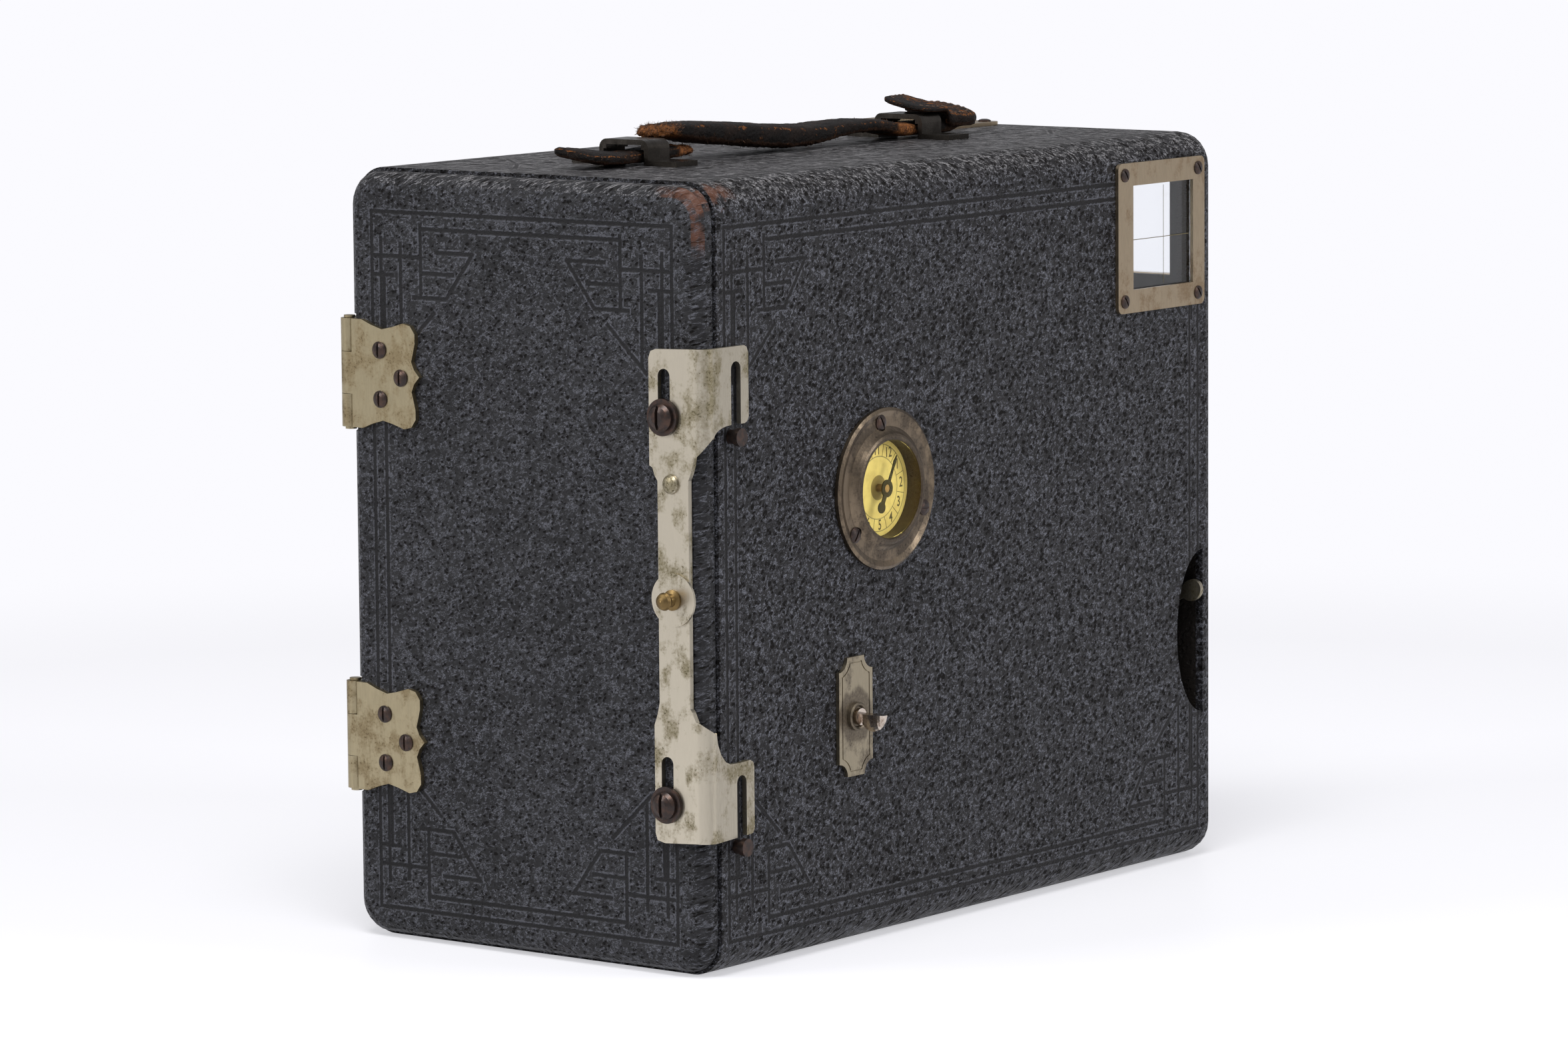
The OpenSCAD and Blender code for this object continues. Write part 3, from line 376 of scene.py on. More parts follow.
def bare_inside(m, skin):
    """Bare black wood wherever a board lies deeper than its leather."""
    grain = m.noise(1.6, 5.0, 0.65, stretch=WOOD_STRETCH, seed=2.0, warp=0.4)
    return m.mix(m.step(depth_below(m), SKIN_THICK, SKIN_THICK + 0.3), skin, m.mix(grain, *BARE_WOOD))


def leather(name, faces, net, pit_size, pit_reach, pit_shade, lit_share):
    """Black pebbled leather: crumpled ground with painted shade in its pits and on one side of its folds,
    and a painted highlight on the other side.

    faces lists the tooled faces as tooled_faces takes them. net is the ground's colour.
    """
    m = Maker(name)
    normal = m.normal()
    tool, rims = tooled_faces(m, faces, normal)
    upward = m.step(normal[2], 0.1, 0.8)
    plain = 1.0 - m.most(tool, rims * 0.6)
    slant = m.along(GRAIN_SLANT, GRAIN_STRETCH)
    fold = m.noise(FOLD_SIZE, 4.0, 0.62, seed=4.0, warp=0.5, place=slant)
    beside = m.noise(FOLD_SIZE, 4.0, 0.62, seed=4.0 + FOLD_SHIFT, warp=0.5, place=slant)
    fine = m.noise(FOLD_SIZE * 0.5, 3.0, 0.6, seed=6.0, warp=0.5, place=slant)
    crease = m.noise(FOLD_SIZE * 0.8, 3.0, 0.6, seed=12.0, warp=0.6, place=slant)
    line = m.below(abs(crease - 0.5), 0.008, 0.045)
    thin_line = m.below(abs(fine - 0.5), 0.006, 0.03)
    # Painted highlight on creases where the fold rises, painted shade where it falls
    lit = m.most(line, thin_line * 0.8) * m.step(fold - beside, *FOLD_RISE) * plain
    shade = m.step(beside - fold, *FOLD_RISE) * plain
    pebble = m.cells(pit_size, bend=0.5, place=slant) + (fold - 0.5) * 0.6
    pit = m.below(pebble, pit_reach, pit_reach + 0.2) * plain
    m.bump(fold + fine * 0.35 - pit * 0.7 - tool * 0.4, 0.35)
    cloud = m.noise(16, 5.0, 0.6, seed=3.0)
    ground = m.mix(m.step(cloud, 0.3, 0.7), times(net, 0.82), times(net, 1.18))
    # Painted shade: the falling side of each fold and the tooled grooves, then the pits
    shaded = m.mix(m.most(shade * 0.3, tool * 0.5), ground, LEATHER_SHADE)
    deep = m.mix(pit * pit_shade, shaded, LEATHER_SHADE)
    # Painted highlight on the lit creases and the groove rims, stronger and paler on top faces
    light = m.mix(upward, LEATHER_LIT, LEATHER_TOP_HIGHLIGHT_AND_DUST)
    lit_rims = rims * m.step(fold, 0.42, 0.56) * 0.5
    ridge = m.mix(m.most(lit * (lit_share + upward * 0.4) * (1.0 - pit * 0.6), lit_rims), deep, light)
    crumbs = m.step(m.noise(0.6, 3.0, 0.7, seed=8.0), 0.68, 0.74) * upward
    dusty = m.mix(crumbs * 0.7, ridge, LEATHER_CRUMBS)
    colour = bare_inside(m, worn_skin(m, dusty, normal))
    rough = 0.36 + pit * 0.3 + (cloud - 0.5) * 0.2 + tool * 0.06
    return m.set(Base_Color=colour, Roughness=rough, Specular_IOR_Level=0.08)


# Metal


# A painted highlight along a bend fades at these distances from its line; faces towards +Y get a weaker
# painted highlight
BEND_REACH = (1.0, 2.4)
BEND_HIGHLIGHT_GAIN = 1.45
BACK_FACE_HIGHLIGHT_GAIN = 0.6
SCREW_STEEL = ((0.035, 0.027, 0.025), (0.12, 0.062, 0.04))
BRASS = ((0.55, 0.37, 0.15), (0.30, 0.20, 0.09))


def dark_ring(m, dull, run, along, up, reach):
    """Tarnish that is darkest round a place, out to reach."""
    away = m.length(m.y - along, m.z - up) + (run - 0.5) * 5.0
    return m.most(dull * 0.8, m.below(away, reach - 1.0, reach + 0.6) * 0.85)


def worn_plate(name, clean, tarnish, grime, cover, rough=0.3, seed=0.0, specks_from=0.68, relief=1.0,
               highlight_bend_at=None, dark_round=None):
    """Plated metal whose tarnish covers about the share cover, with dark specks in it.

    The bend argument gives the place across and along of an upright bend, which gets a painted highlight
    and less tarnish; faces towards +Y get a weaker painted highlight.
    dark_round is a place along and up and how far dark tarnish reaches round it.
    """
    m = Maker(name)
    patch = m.noise(8, 5.0, 0.65, seed=seed + 2.0)
    run = m.noise(3.0, 4.0, 0.6, stretch=(1, 1, 0.3), seed=seed)
    fine = m.noise(0.55, 4.0, 0.7, seed=seed + 5.0)
    scratch = m.noise(0.4, 3.0, 0.7, stretch=(1, 1, 0.15), seed=seed + 1)
    field = patch * 0.6 + run * 0.3 + fine * 0.1
    dull = m.step(field, 0.54 - cover * 0.16, 0.66 - cover * 0.16)
    base = m.mix(scratch, times(clean, 0.8), times(clean, 1.2))
    if dark_round:
        dull = dark_ring(m, dull, run, *dark_round)
    if highlight_bend_at:
        # Painted highlight along the bend and, weaker, on faces towards +Y
        near = m.below(m.length(m.x - highlight_bend_at[0], m.y - highlight_bend_at[1]), *BEND_REACH)
        gain = m.most(near, m.step(m.normal()[1], 0.5, 0.9) * BACK_FACE_HIGHLIGHT_GAIN)
        dull = dull * (1.0 - near * 0.7)
        base = m.mix(gain, base, times(clean, BEND_HIGHLIGHT_GAIN))
    film = m.mix(dull * (0.3 + fine), base, tarnish)
    specks = m.step(fine + dull * 0.1 + (patch - 0.5) * 0.3, specks_from, specks_from + 0.1)
    colour = m.mix(specks * 0.7, film, grime)
    roughness = rough + dull * 0.14 + specks * 0.15 + fine * 0.08
    m.bump(scratch * 0.5 + fine * 0.6 - specks * 0.5, 0.03 * relief)
    return m.set(Base_Color=colour, Metallic=1.0, Roughness=roughness)


def dark_steel(name):
    """Old screw steel, brown to black."""
    m = Maker(name)
    patch = m.noise(1.6, 4.0, 0.65, seed=4.0)
    base = m.mix(m.step(patch, 0.4, 0.7) * 0.4, *SCREW_STEEL)
    m.bump(patch, 0.03)
    return m.set(Base_Color=base, Metallic=0.8, Roughness=0.26 + patch * 0.2)


def brass(name, tone=1.0):
    """Brass with darker patches, tone times as bright as fresh brass."""
    m = Maker(name)
    patch = m.noise(4.0, 4.0, 0.6, seed=1.0)
    base = m.mix(m.step(patch, 0.35, 0.75), *[times(colour, tone) for colour in BRASS])
    m.bump(m.noise(0.8, 3.0), 0.02)
    return m.set(Base_Color=base, Metallic=1.0, Roughness=0.3 + patch * 0.2)


# Paint, wood, glass and paper


GLASS_TINT = (0.955, 0.965, 0.98)
GLASS_DUST = (0.6, 0.6, 0.55)
MIRROR_REFLECTION_CLOUDS = ((0.80, 0.84, 0.85), (0.62, 0.67, 0.67))
MIRROR_SPOTS = (0.12, 0.12, 0.11)
DIAL_PAPER = ((0.78, 0.66, 0.24), (0.62, 0.50, 0.17))
DIAL_FOXED = (0.25, 0.11, 0.03)
DIAL_HUB_SHADOW = (0.20, 0.14, 0.03)
DIAL_INK = (0.13, 0.11, 0.05)
DIAL_RING_OUT = 9.9
DIAL_RING_IN = 7.1


def plain_paint(name, colour, rough=0.6):
    """Plain paint with a little dust."""
    m = Maker(name)
    dust = m.noise(6.0, 5.0, 0.65, seed=2.0)
    base = m.mix(m.step(dust, 0.5, 0.8) * 0.4, colour, [part + 0.02 for part in colour])
    m.bump(m.noise(0.7, 3.0), 0.02)
    return m.set(Base_Color=base, Roughness=rough + (dust - 0.5) * 0.2, Specular_IOR_Level=0.2)


def wood(name, colour):
    """Plain board with a grain along Z."""
    m = Maker(name)
    grain = m.noise(1.6, 5.0, 0.65, stretch=WOOD_STRETCH, warp=0.4)
    base = m.mix(grain, times(colour, 0.6), times(colour, 1.35))
    m.bump(grain, 0.08)
    return m.set(Base_Color=base, Roughness=0.55 + grain * 0.15, Specular_IOR_Level=0.2)


def glass(name, tint=GLASS_TINT, bending=1.3):
    """Thin clear glass with a trace of dust."""
    m = Maker(name)
    dust = m.noise(7.0, 5.0, 0.7, seed=6.0)
    base = m.mix(m.step(dust, 0.6, 0.9) * 0.3, tint, GLASS_DUST)
    rough = 0.03 + m.step(dust, 0.62, 0.9) * 0.12
    return m.set(Base_Color=base, IOR=bending, Transmission_Weight=1.0, Roughness=rough)


def old_mirror(name):
    """Silvered glass whose pale cloudy colour is a painted reflection, with dark spots."""
    m = Maker(name)
    cloud = m.noise(14, 4.0, 0.6, seed=8.0)
    specks = m.cells(2.6, bend=0.6)
    pits = m.below(specks, 0.08, 0.2) * m.step(cloud, 0.45, 0.7)
    # Pale cloudy painted reflection
    base = m.mix(m.step(cloud, 0.35, 0.8), *MIRROR_REFLECTION_CLOUDS)
    colour = m.mix(pits * 0.8, base, MIRROR_SPOTS)
    m.bump(m.noise(2.0, 3.0), 0.01)
    return m.set(Base_Color=colour, Metallic=0.35, Roughness=0.42 + cloud * 0.2)


def dial_paper(name):
    """Yellowed dial with two printed rings, stains and a painted shadow of the hub. The figures are pieces
    of their own.
    """
    m = Maker(name)
    dy = m.y - DIAL_Y
    radius = m.length(dy, m.z - DIAL_Z)
    ring = 0.0
    for r in (DIAL_RING_OUT, DIAL_RING_IN):
        ring = m.most(ring, m.below(abs(radius - r), 0.07, 0.15))
    stain = m.noise(4.0, 5.0, 0.65, seed=4.0)
    # Painted shadow of the hub: a brown disc round the dial's middle
    hub_shadow = m.below(radius + (stain - 0.5) * 0.2, 2.75, 2.9)
    base = m.mix(m.step(stain, 0.4, 0.75), *DIAL_PAPER)
    spots = m.step(m.noise(0.8, 4.0, 0.7, seed=2.0), 0.6, 0.7) * m.step(dy, 2.0, 8.0)
    foxed = m.mix(spots * 0.7, base, DIAL_FOXED)
    brown = m.mix(hub_shadow * 0.85, foxed, DIAL_HUB_SHADOW)
    m.bump(stain, 0.01)
    return m.set(Base_Color=m.mix(ring * 0.75, brown, DIAL_INK), Roughness=0.5 + stain * 0.2)


# Handle leather, fibre and thread


# The strap's folded end starts before this place along the case
TAB_FROM = -53
HANDLE_SKIN = ((0.003, 0.002, 0.0017), (0.010, 0.0052, 0.0034))
HANDLE_FELT = (0.036, 0.017, 0.009)
HANDLE_RAW = ((0.05, 0.019, 0.008), (0.20, 0.075, 0.022))
FIBRE_TONES = ((0.11, 0.044, 0.016), (0.028, 0.014, 0.008))
THREAD_TONES = ((0.02, 0.013, 0.008), (0.10, 0.055, 0.03))


def suede(name, torn_spots, brown, rim_brown=0.5):
    """Handle leather: black skin, orange where it is scuffed, raw below and at the torn ends."""
    m = Maker(name)
    patch = m.noise(2.6, 6.0, 0.72, seed=2.0)
    fine = m.noise(0.6, 4.0, 0.7, seed=3.0)
    up = m.normal()[2]
    tab = m.step(up, 0.6, 0.8) * m.below(m.y, TAB_FROM, TAB_FROM + 12.0)
    rim = m.below(abs(up - 0.6), 0.1, 0.25) * rim_brown
    scuff = m.step(patch + (fine - 0.5) * 0.6 + tab * 0.15 + rim * 0.2, 0.70 - brown * 0.2, 0.76)
    under = m.step(up * -1.0 + (patch - 0.5) * 0.8, 0.25, 0.6)
    raw = 0.0
    for (x, y, z), reach in torn_spots:
        dx, dy, dz = m.x - x, m.y - y, m.z - z
        away = m.math("SQRT", dx * dx * 0.15 + dy * dy + dz * dz)
        raw = m.most(raw, m.below(away + (patch - 0.5) * 4.0, reach * 0.75, reach))
    skin = m.mix(m.step(m.noise(7, 4.0, seed=6.0), 0.4, 0.7), *HANDLE_SKIN)
    felt = m.mix(under * 0.8, skin, HANDLE_FELT)
    orange = m.mix(m.step(fine, 0.35, 0.65), *HANDLE_RAW)
    colour = m.mix(m.most(scuff * 0.75, raw), felt, orange)
    m.bump(m.cells(0.9, smooth=0.4) * -0.4 + fine * 0.9 + patch * 0.3, 0.5)
    return m.set(Base_Color=colour, Roughness=0.55 + scuff * 0.3, Specular_IOR_Level=0.12)


def fibre(name):
    """Raw leather fibre, orange to dark brown."""
    m = Maker(name)
    tone = m.noise(1.5, 3.0, 0.6, seed=2.0)
    m.bump(tone, 0.01)
    return m.set(Base_Color=m.mix(m.step(tone, 0.35, 0.7), *FIBRE_TONES), Roughness=0.8 - tone * 0.1)


def thread(name):
    """Old sewing thread, brown-black with a lay."""
    m = Maker(name)
    lay = m.noise(0.25, 2.0, seed=1.0)
    m.bump(lay, 0.05)
    return m.set(Base_Color=m.mix(lay, *THREAD_TONES), Roughness=0.7 - lay * 0.1)


# Floor


# Share of plain background in the floor near the case, and where it grows to the whole
FLOOR_GLOW = 0.5
FLOOR_NEAR = 260
FLOOR_FAR = 620
FLOOR_COLOUR = (0.88, 0.88, 0.91)
BACKGROUND = (0.965, 0.962, 1.0)


def pale_floor(name):
    """Pale floor that takes the shadow near the camera case and is plain background far off."""
    m = Maker(name)
    far = m.most(m.step(m.length(m.x, m.y), FLOOR_NEAR, FLOOR_FAR), FLOOR_GLOW)
    cloud = m.noise(60, 2.0)
    m.bump(cloud, 0.01)
    m.set(Base_Color=m.mix(cloud, FLOOR_COLOUR, times(FLOOR_COLOUR, 0.99)), Roughness=0.4)
    glow = m.add("ShaderNodeEmission")
    glow.inputs["Color"].default_value = (*BACKGROUND, 1)
    blend = m.add("ShaderNodeMixShader")
    m.plug(far, blend.inputs[0])
    m.tree.links.new(m.shader.outputs[0], blend.inputs[1])
    m.tree.links.new(glow.outputs[0], blend.inputs[2])
    m.tree.links.new(blend.outputs[0], m.out.inputs[0])
    return m.mat


# The materials and the CAD nodes that they go on


# Tooled faces: normal axis, half width, half height, middle
FACES_CASE = (("x", CASE_HALF_L, CASE_HALF_H, CASE_HALF_H), ("z", CASE_HALF_W, CASE_HALF_L, 0.0))
FACES_DOOR = (("y", DOOR_HALF_W, DOOR_HALF_H, CASE_HALF_H),)
LEATHERS = {
    "leather_case": dict(faces=FACES_CASE, net=(0.0185, 0.018, 0.0195), pit_size=1.25, pit_reach=0.24,
                         pit_shade=0.95, lit_share=1.0),
    "leather_door": dict(faces=FACES_DOOR, net=(0.023, 0.023, 0.025), pit_size=1.0, pit_reach=0.16,
                         pit_shade=0.9, lit_share=0.7),
}
PLATES = {
    "nickel": dict(clean=(0.37, 0.335, 0.27), tarnish=(0.16, 0.135, 0.075), grime=(0.05, 0.042, 0.026),
                   cover=0.4, highlight_bend_at=(LATCH_LO.x, LATCH_HI.y)),
    "nickel_key": dict(clean=(0.29, 0.25, 0.18), tarnish=(0.06, 0.046, 0.038), grime=(0.035, 0.027, 0.022),
                       cover=0.4, seed=3.0, dark_round=(KEY_Y, KEY_Z, 6.4)),
    "nickel_thumb": dict(clean=(0.55, 0.48, 0.42), tarnish=(0.16, 0.10, 0.06), grime=(0.05, 0.03, 0.02),
                         cover=0.25, rough=0.12, seed=5.0, relief=0.15),
    "hinge_plate": dict(clean=(0.33, 0.28, 0.18), tarnish=(0.19, 0.145, 0.08), grime=(0.07, 0.05, 0.03),
                        cover=0.5, seed=4.0),
    "finder_plate": dict(clean=(0.30, 0.24, 0.165), tarnish=(0.20, 0.14, 0.085), grime=(0.07, 0.045, 0.025),
                         cover=0.4, seed=7.0, specks_from=0.76),
    "bezel": dict(clean=(0.165, 0.128, 0.09), tarnish=(0.032, 0.026, 0.022), grime=(0.02, 0.016, 0.013),
                  cover=0.6, rough=0.28, seed=9.0, relief=0.5, dark_round=(DIAL_Y, DIAL_Z, DIAL_RIM)),
    "loop_metal": dict(clean=(0.06, 0.053, 0.046), tarnish=(0.024, 0.021, 0.018),
                       grime=(0.015, 0.012, 0.01), cover=0.5, rough=0.22, seed=6.0),
    "spring_steel": dict(clean=(0.36, 0.35, 0.33), tarnish=(0.20, 0.17, 0.12), grime=(0.05, 0.04, 0.03),
                         cover=0.2),
}
PAINTS = {
    "black_paint": dict(colour=(0.012, 0.012, 0.012)),
    "emulsion": dict(colour=(0.55, 0.53, 0.44), rough=0.3),
    "hand": dict(colour=(0.045, 0.038, 0.016), rough=0.7),
    "figures": dict(colour=(0.10, 0.08, 0.035), rough=0.7),
}
# Torn places of the handle leather: middle and reach
STRAP_TORN = (((0, BACK - 47.5, TOP + 7), 5.0), ((0, FRONT + 62, TOP + 2), 6.0))
TAB_TORN = (((0, BACK - 56, TOP + 3), 6.0),)
MATERIALS = {name: leather(name, **values) for name, values in LEATHERS.items()}
MATERIALS.update({name: worn_plate(name, **values) for name, values in PLATES.items()})
MATERIALS.update({name: plain_paint(name, **values) for name, values in PAINTS.items()})
MATERIALS.update({
    "dark_steel": dark_steel("dark_steel"),
    "brass": brass("brass"),
    "brass_dull": brass("brass_dull", tone=0.38),
    "wood_black": wood("wood_black", (0.03, 0.027, 0.024)),
    "glass": glass("glass"),
    "dial_glass": glass("dial_glass", tint=(0.97, 0.94, 0.80), bending=1.08),
    "mirror": old_mirror("mirror"),
    "dial": dial_paper("dial"),
    "handle": suede("handle", STRAP_TORN, brown=0.4),
    "torn_tab": suede("torn_tab", TAB_TORN, brown=0.35, rim_brown=1.0),
    "fibre": fibre("fibre"),
    "thread": thread("thread"),
    "floor": pale_floor("floor"),
})

NODE_LOOKS = {
    "leather_case": ["case_top", "case_base", "case_counter_side", "case_hinge_side", "front_board"],
    "leather_door": ["door_panel"],
    "wood_black": ["magazine_liner", "plate_ledge", "lens_partition", "finder_shelf", "door_rebate"],
    "brass": ["lens_barrel", "lens_ring", "stop_knob", "shutter_post", "finder_lens_frames",
              "counter_wheel", "counter_bridge", "key_crank", "tripod_bushes"],
    "brass_dull": ["latch_knob"],
    "glass": ["lens_glasses", "finder_lenses", "finder_glasses"],
    "dial_glass": ["counter_glass"],
    "black_paint": ["stop_disc", "shutter_sector", "side_finder_box", "top_finder_box", "front_sheath",
                    "sheath_stack", "pressure_plate"],
    "spring_steel": ["shutter_spring", "release_bar", "bar_guides", "release_spring",
                     "pressure_springs"],
    "mirror": ["finder_mirrors"],
    "finder_plate": ["side_finder_plate", "top_finder_plate"],
    "dark_steel": ["case_screws", "door_screws", "latch_washers", "latch_studs"],
    "bezel": ["counter_bezel"],
    "loop_metal": ["handle_loops"],
    "dial": ["counter_dial"],
    "hand": ["counter_hand"],
    "nickel": ["latch_plate", "latch_rivet", "shutter_lever"],
    "nickel_key": ["key_plate"],
    "nickel_thumb": ["change_key"],
    "hinge_plate": ["hinge_door_leaves", "hinge_case_leaves", "hinge_pins"],
    "emulsion": ["front_plate", "plate_glass_stack"],
    "handle": ["handle_strap"],
    "torn_tab": ["handle_torn_tab"],
}
for look, names in NODE_LOOKS.items():
    for name in names:
        nodes[name].data.materials.clear()
        nodes[name].data.materials.append(MATERIALS[look])


# Meshes


SMOOTH_ROUNDS = 4


def add_object(name, data):
    """A new object in the scene."""
    thing = bpy.data.objects.new(name, data)
    bpy.context.scene.collection.objects.link(thing)
    return thing


def new_piece(name, bm, look, body, smooth=True):
    """Turns a bmesh in millimetres into a piece in metres that rides on a body."""
    mesh = bpy.data.meshes.new(name)
    bmesh.ops.transform(bm, matrix=Matrix.Scale(MM, 4), verts=bm.verts)
    bm.to_mesh(mesh)
    bm.free()
    for polygon in mesh.polygons:
        polygon.use_smooth = smooth
    mesh.materials.append(MATERIALS[look])
    piece = add_object(name, mesh)
    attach(piece, body)
    return piece


def even_copy(node, voxel):
    """The shape of a CAD solid as an even mesh in millimetres."""
    source = add_object("source", nodes[node].data.copy())
    remesh = source.modifiers.new("remesh", "REMESH")
    remesh.mode = "VOXEL"
    remesh.voxel_size = voxel * MM
    graph = bpy.context.evaluated_depsgraph_get()
    graph.update()
    shape = source.evaluated_get(graph)
    bm = bmesh.new()
    bm.from_mesh(shape.to_mesh())
    bmesh.ops.transform(bm, matrix=Matrix.Scale(1 / MM, 4), verts=bm.verts)
    bpy.data.objects.remove(source)
    for _ in range(SMOOTH_ROUNDS):
        bmesh.ops.smooth_vert(bm, verts=bm.verts, factor=0.5, use_axis_x=True, use_axis_y=True,
                              use_axis_z=True)
    bm.normal_update()
    return bm


def swell(bm, rule):
    """Moves each vertex along its normal by rule(place, normal) millimetres."""
    moves = [v.normal * rule(v.co, v.normal) for v in bm.verts]
    for vert, move in zip(bm.verts, moves):
        vert.co += move
    bm.normal_update()


def grain(place, size, seed):
    """Noise from -1 to 1 with features of about size millimetres."""
    return noise.noise(Vector((place.x + seed, place.y - seed, place.z)) / size)


def share(value):
    """A value held between 0 and 1."""
    return min(1.0, max(0.0, value))


def sort_faces(bm):
    """Puts the faces in an order that is the same each run, as Blender's own sphere doesn't."""
    bm.verts.index_update()
    many = len(bm.verts)

    def rank(face):
        low = sorted(vert.index for vert in face.verts)
        return (low[0] * many + low[1]) * many + low[2]

    bm.faces.sort(key=rank)


# Loose fibres


HAIR_SIDES = 3
HAIR_STEPS = 3
HAIR_RADIUS = (0.05, 0.11)
HAIR_ROOT = 0.3
HAIR_STRAY = 0.8
HAIR_BEND = 0.5
HAIR_TAPER = 0.7


def random_vector(rng):
    return Vector([rng.uniform(-1, 1) for _ in range(3)])


def add_hair(bm, root, direction, length, radius, rng):
    """A thin curved fibre that gets thinner to its tip."""
    side = direction.orthogonal().normalized()
    bend = random_vector(rng) * length * HAIR_BEND
    rings = []
    for step in range(HAIR_STEPS + 1):
        t = step / HAIR_STEPS
        middle = root + direction * length * t + bend * t * t
        r = radius * (1 - HAIR_TAPER * t)
        ring = []
        for i in range(HAIR_SIDES):
            turn = Matrix.Rotation(i * math.tau / HAIR_SIDES, 3, direction)
            ring.append(bm.verts.new(middle + turn @ side * r))
        rings.append(ring)
    for low, high in zip(rings, rings[1:]):
        for i in range(HAIR_SIDES):
            j = (i + 1) % HAIR_SIDES
            bm.faces.new((low[i], low[j], high[j], high[i]))
    bm.faces.new(rings[0][::-1])
    bm.faces.new(rings[-1])


def fibres(name, bm, chosen, count, length, seed, body):
    """Loose fibres on the vertices that chosen(place, normal) picks."""
    rng = random.Random(seed)
    roots = [(v.co.copy(), v.normal.copy()) for v in bm.verts if chosen(v.co, v.normal)]
    hairs = bmesh.new()
    for _ in range(count):
        root, normal = roots[rng.randrange(len(roots))]
        direction = (normal + random_vector(rng) * HAIR_STRAY).normalized()
        long = rng.uniform(0.3, 1) * length
        thick = rng.uniform(*HAIR_RADIUS)
        add_hair(hairs, root - direction * HAIR_ROOT, direction, long, thick, rng)
    new_piece(name, hairs, "fibre", body)


# Strap


STRAP_VOXEL = 0.45
STRAP_TORN_FROM = 47.5
# Metal lies close to the strap between these places along the case
LOOP_ZONE = (-58, -26)
# Slant of the folded end, and the heights above the case of the seams between its layers
TAB_TILT = math.radians(12)
TAB_SEAMS = (6.1, 4.4)
SEAM_HALF = 0.34
SEAM_DEEP = 0.45
# The stitched end: place along the case and half width of the seam
TAB_OUTLINE = ((-43.6, 2.6), (-45.0, 4.6), (-48.0, 5.6), (-53.0, 5.9), (-59.0, 5.8), (-62.5, 5.0),
               (-64.8, 3.6), (-66.0, 1.4))
# Length and pitch of a stitch in steps of PATH_STEP along the seam
STITCH_LONG = 5
STITCH_PITCH = 7
STITCH_HALF = (0.6, 0.17, 0.14)
PATH_STEP = 0.25


def strap_relief(co, normal):
    """How far the strap's skin stands out: grain, torn rear end, felted underside, tab layers."""
    out = grain(co, 4.5, 0) * 0.22 + grain(co, 1.1, 7) * 0.10
    torn = share((co.y - STRAP_TORN_FROM) / 3.0)
    out += torn * (grain(co, 1.6, 3) * 0.45 + grain(co, 0.7, 5) * 0.5)
    if normal.z < -0.2 and co.y > -30:
        out += 0.25 * grain(co, 0.8, 11)
    if co.y < TAB_FROM:
        lift = (co.z - TOP) * math.cos(TAB_TILT) - co.x * math.sin(TAB_TILT)
        side = 1.0 - abs(normal.z)
        for level in TAB_SEAMS:
            if side > 0.35 and abs(lift - level) < SEAM_HALF:
                out -= SEAM_DEEP * (1 - abs(lift - level) / SEAM_HALF)
    near_rear_loop = normal.z < -0.2 and co.y > STRAP_TORN_FROM - 6
    near_front_loop = LOOP_ZONE[0] < co.y < LOOP_ZONE[1]
    return min(out, 0.0) if near_rear_loop or near_front_loop else out


def at_torn_end(co, normal):
    return co.y > STRAP_TORN_FROM and normal.z > -0.2


def on_underside(co, normal):
    return normal.z < -0.3 and -20 < co.y < 46


def by_front_loop(co, normal):
    return -40 < co.y < -28 and normal.z > -0.5


def make_strap():
    bm = even_copy("handle_strap", STRAP_VOXEL)
    swell(bm, strap_relief)
    fibres("strap_torn_fibres", bm, at_torn_end, count=420, length=1.0, seed=4, body="strap")
    fibres("strap_under_fibres", bm, on_underside, count=150, length=0.9, seed=5, body="strap")
    fibres("strap_loop_fibres", bm, by_front_loop, count=90, length=0.6, seed=6, body="strap")
    make_stitches(BVHTree.FromBMesh(bm))
    piece = new_piece("strap_leather", bm, "handle", "strap")
    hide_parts("handle_strap")


def make_stitches(surface):
    """Short thread stitches along the edge of the strap's folded end."""
    bm = bmesh.new()
    points = [Vector((w, y, 0)) for y, w in TAB_OUTLINE]
    points += [Vector((-w, y, 0)) for y, w in reversed(TAB_OUTLINE)]
    path = []
    for a, b in zip(points, points[1:]):
        count = max(1, round((b - a).length / PATH_STEP))
        path += [a.lerp(b, i / count) for i in range(count)]
    for start in range(0, len(path) - STITCH_LONG, STITCH_PITCH):
        a, b = path[start], path[start + STITCH_LONG]
        middle = (a + b) / 2
        hit, normal, _, _ = surface.ray_cast(Vector((middle.x, middle.y, TOP + 20)), Vector((0, 0, -1)))
        if hit is None:
            continue
        run = (b - a).normalized()
        run = (run - normal * run.dot(normal)).normalized()
        turn = Matrix((run, normal.cross(run), normal)).transposed().to_4x4()
        size = Matrix.Diagonal((*STITCH_HALF, 1))
        place = Matrix.Translation(hit + normal * 0.03) @ turn @ size
        bmesh.ops.create_uvsphere(bm, u_segments=8, v_segments=6, radius=1, matrix=place)
    sort_faces(bm)
    new_piece("strap_stitches", bm, "thread", "strap")


# Torn tab in the rear loop


TAB_VOXEL = 0.4
TAB_TORN_TO = 47.5


def tab_relief(co, normal):
    """The torn tab's skin: grain, a cracked edge and a rough torn front end."""
    out = grain(co, 4.0, 21) * 0.25 + grain(co, 1.0, 22) * 0.12
    torn = share((TAB_TORN_TO - co.y) / 3.0)
    out += torn * (grain(co, 1.5, 23) * 0.4 + grain(co, 0.7, 24) * 0.4)
    if abs(normal.z) < 0.5:
        out += 0.25 * grain(Vector((co.x, co.y, co.z * 4)), 1.1, 25)
    return out


def at_tab_front(co, normal):
    return co.y < 45


def at_tab_edge(co, normal):
    return co.y > 64 and abs(normal.z) < 0.6


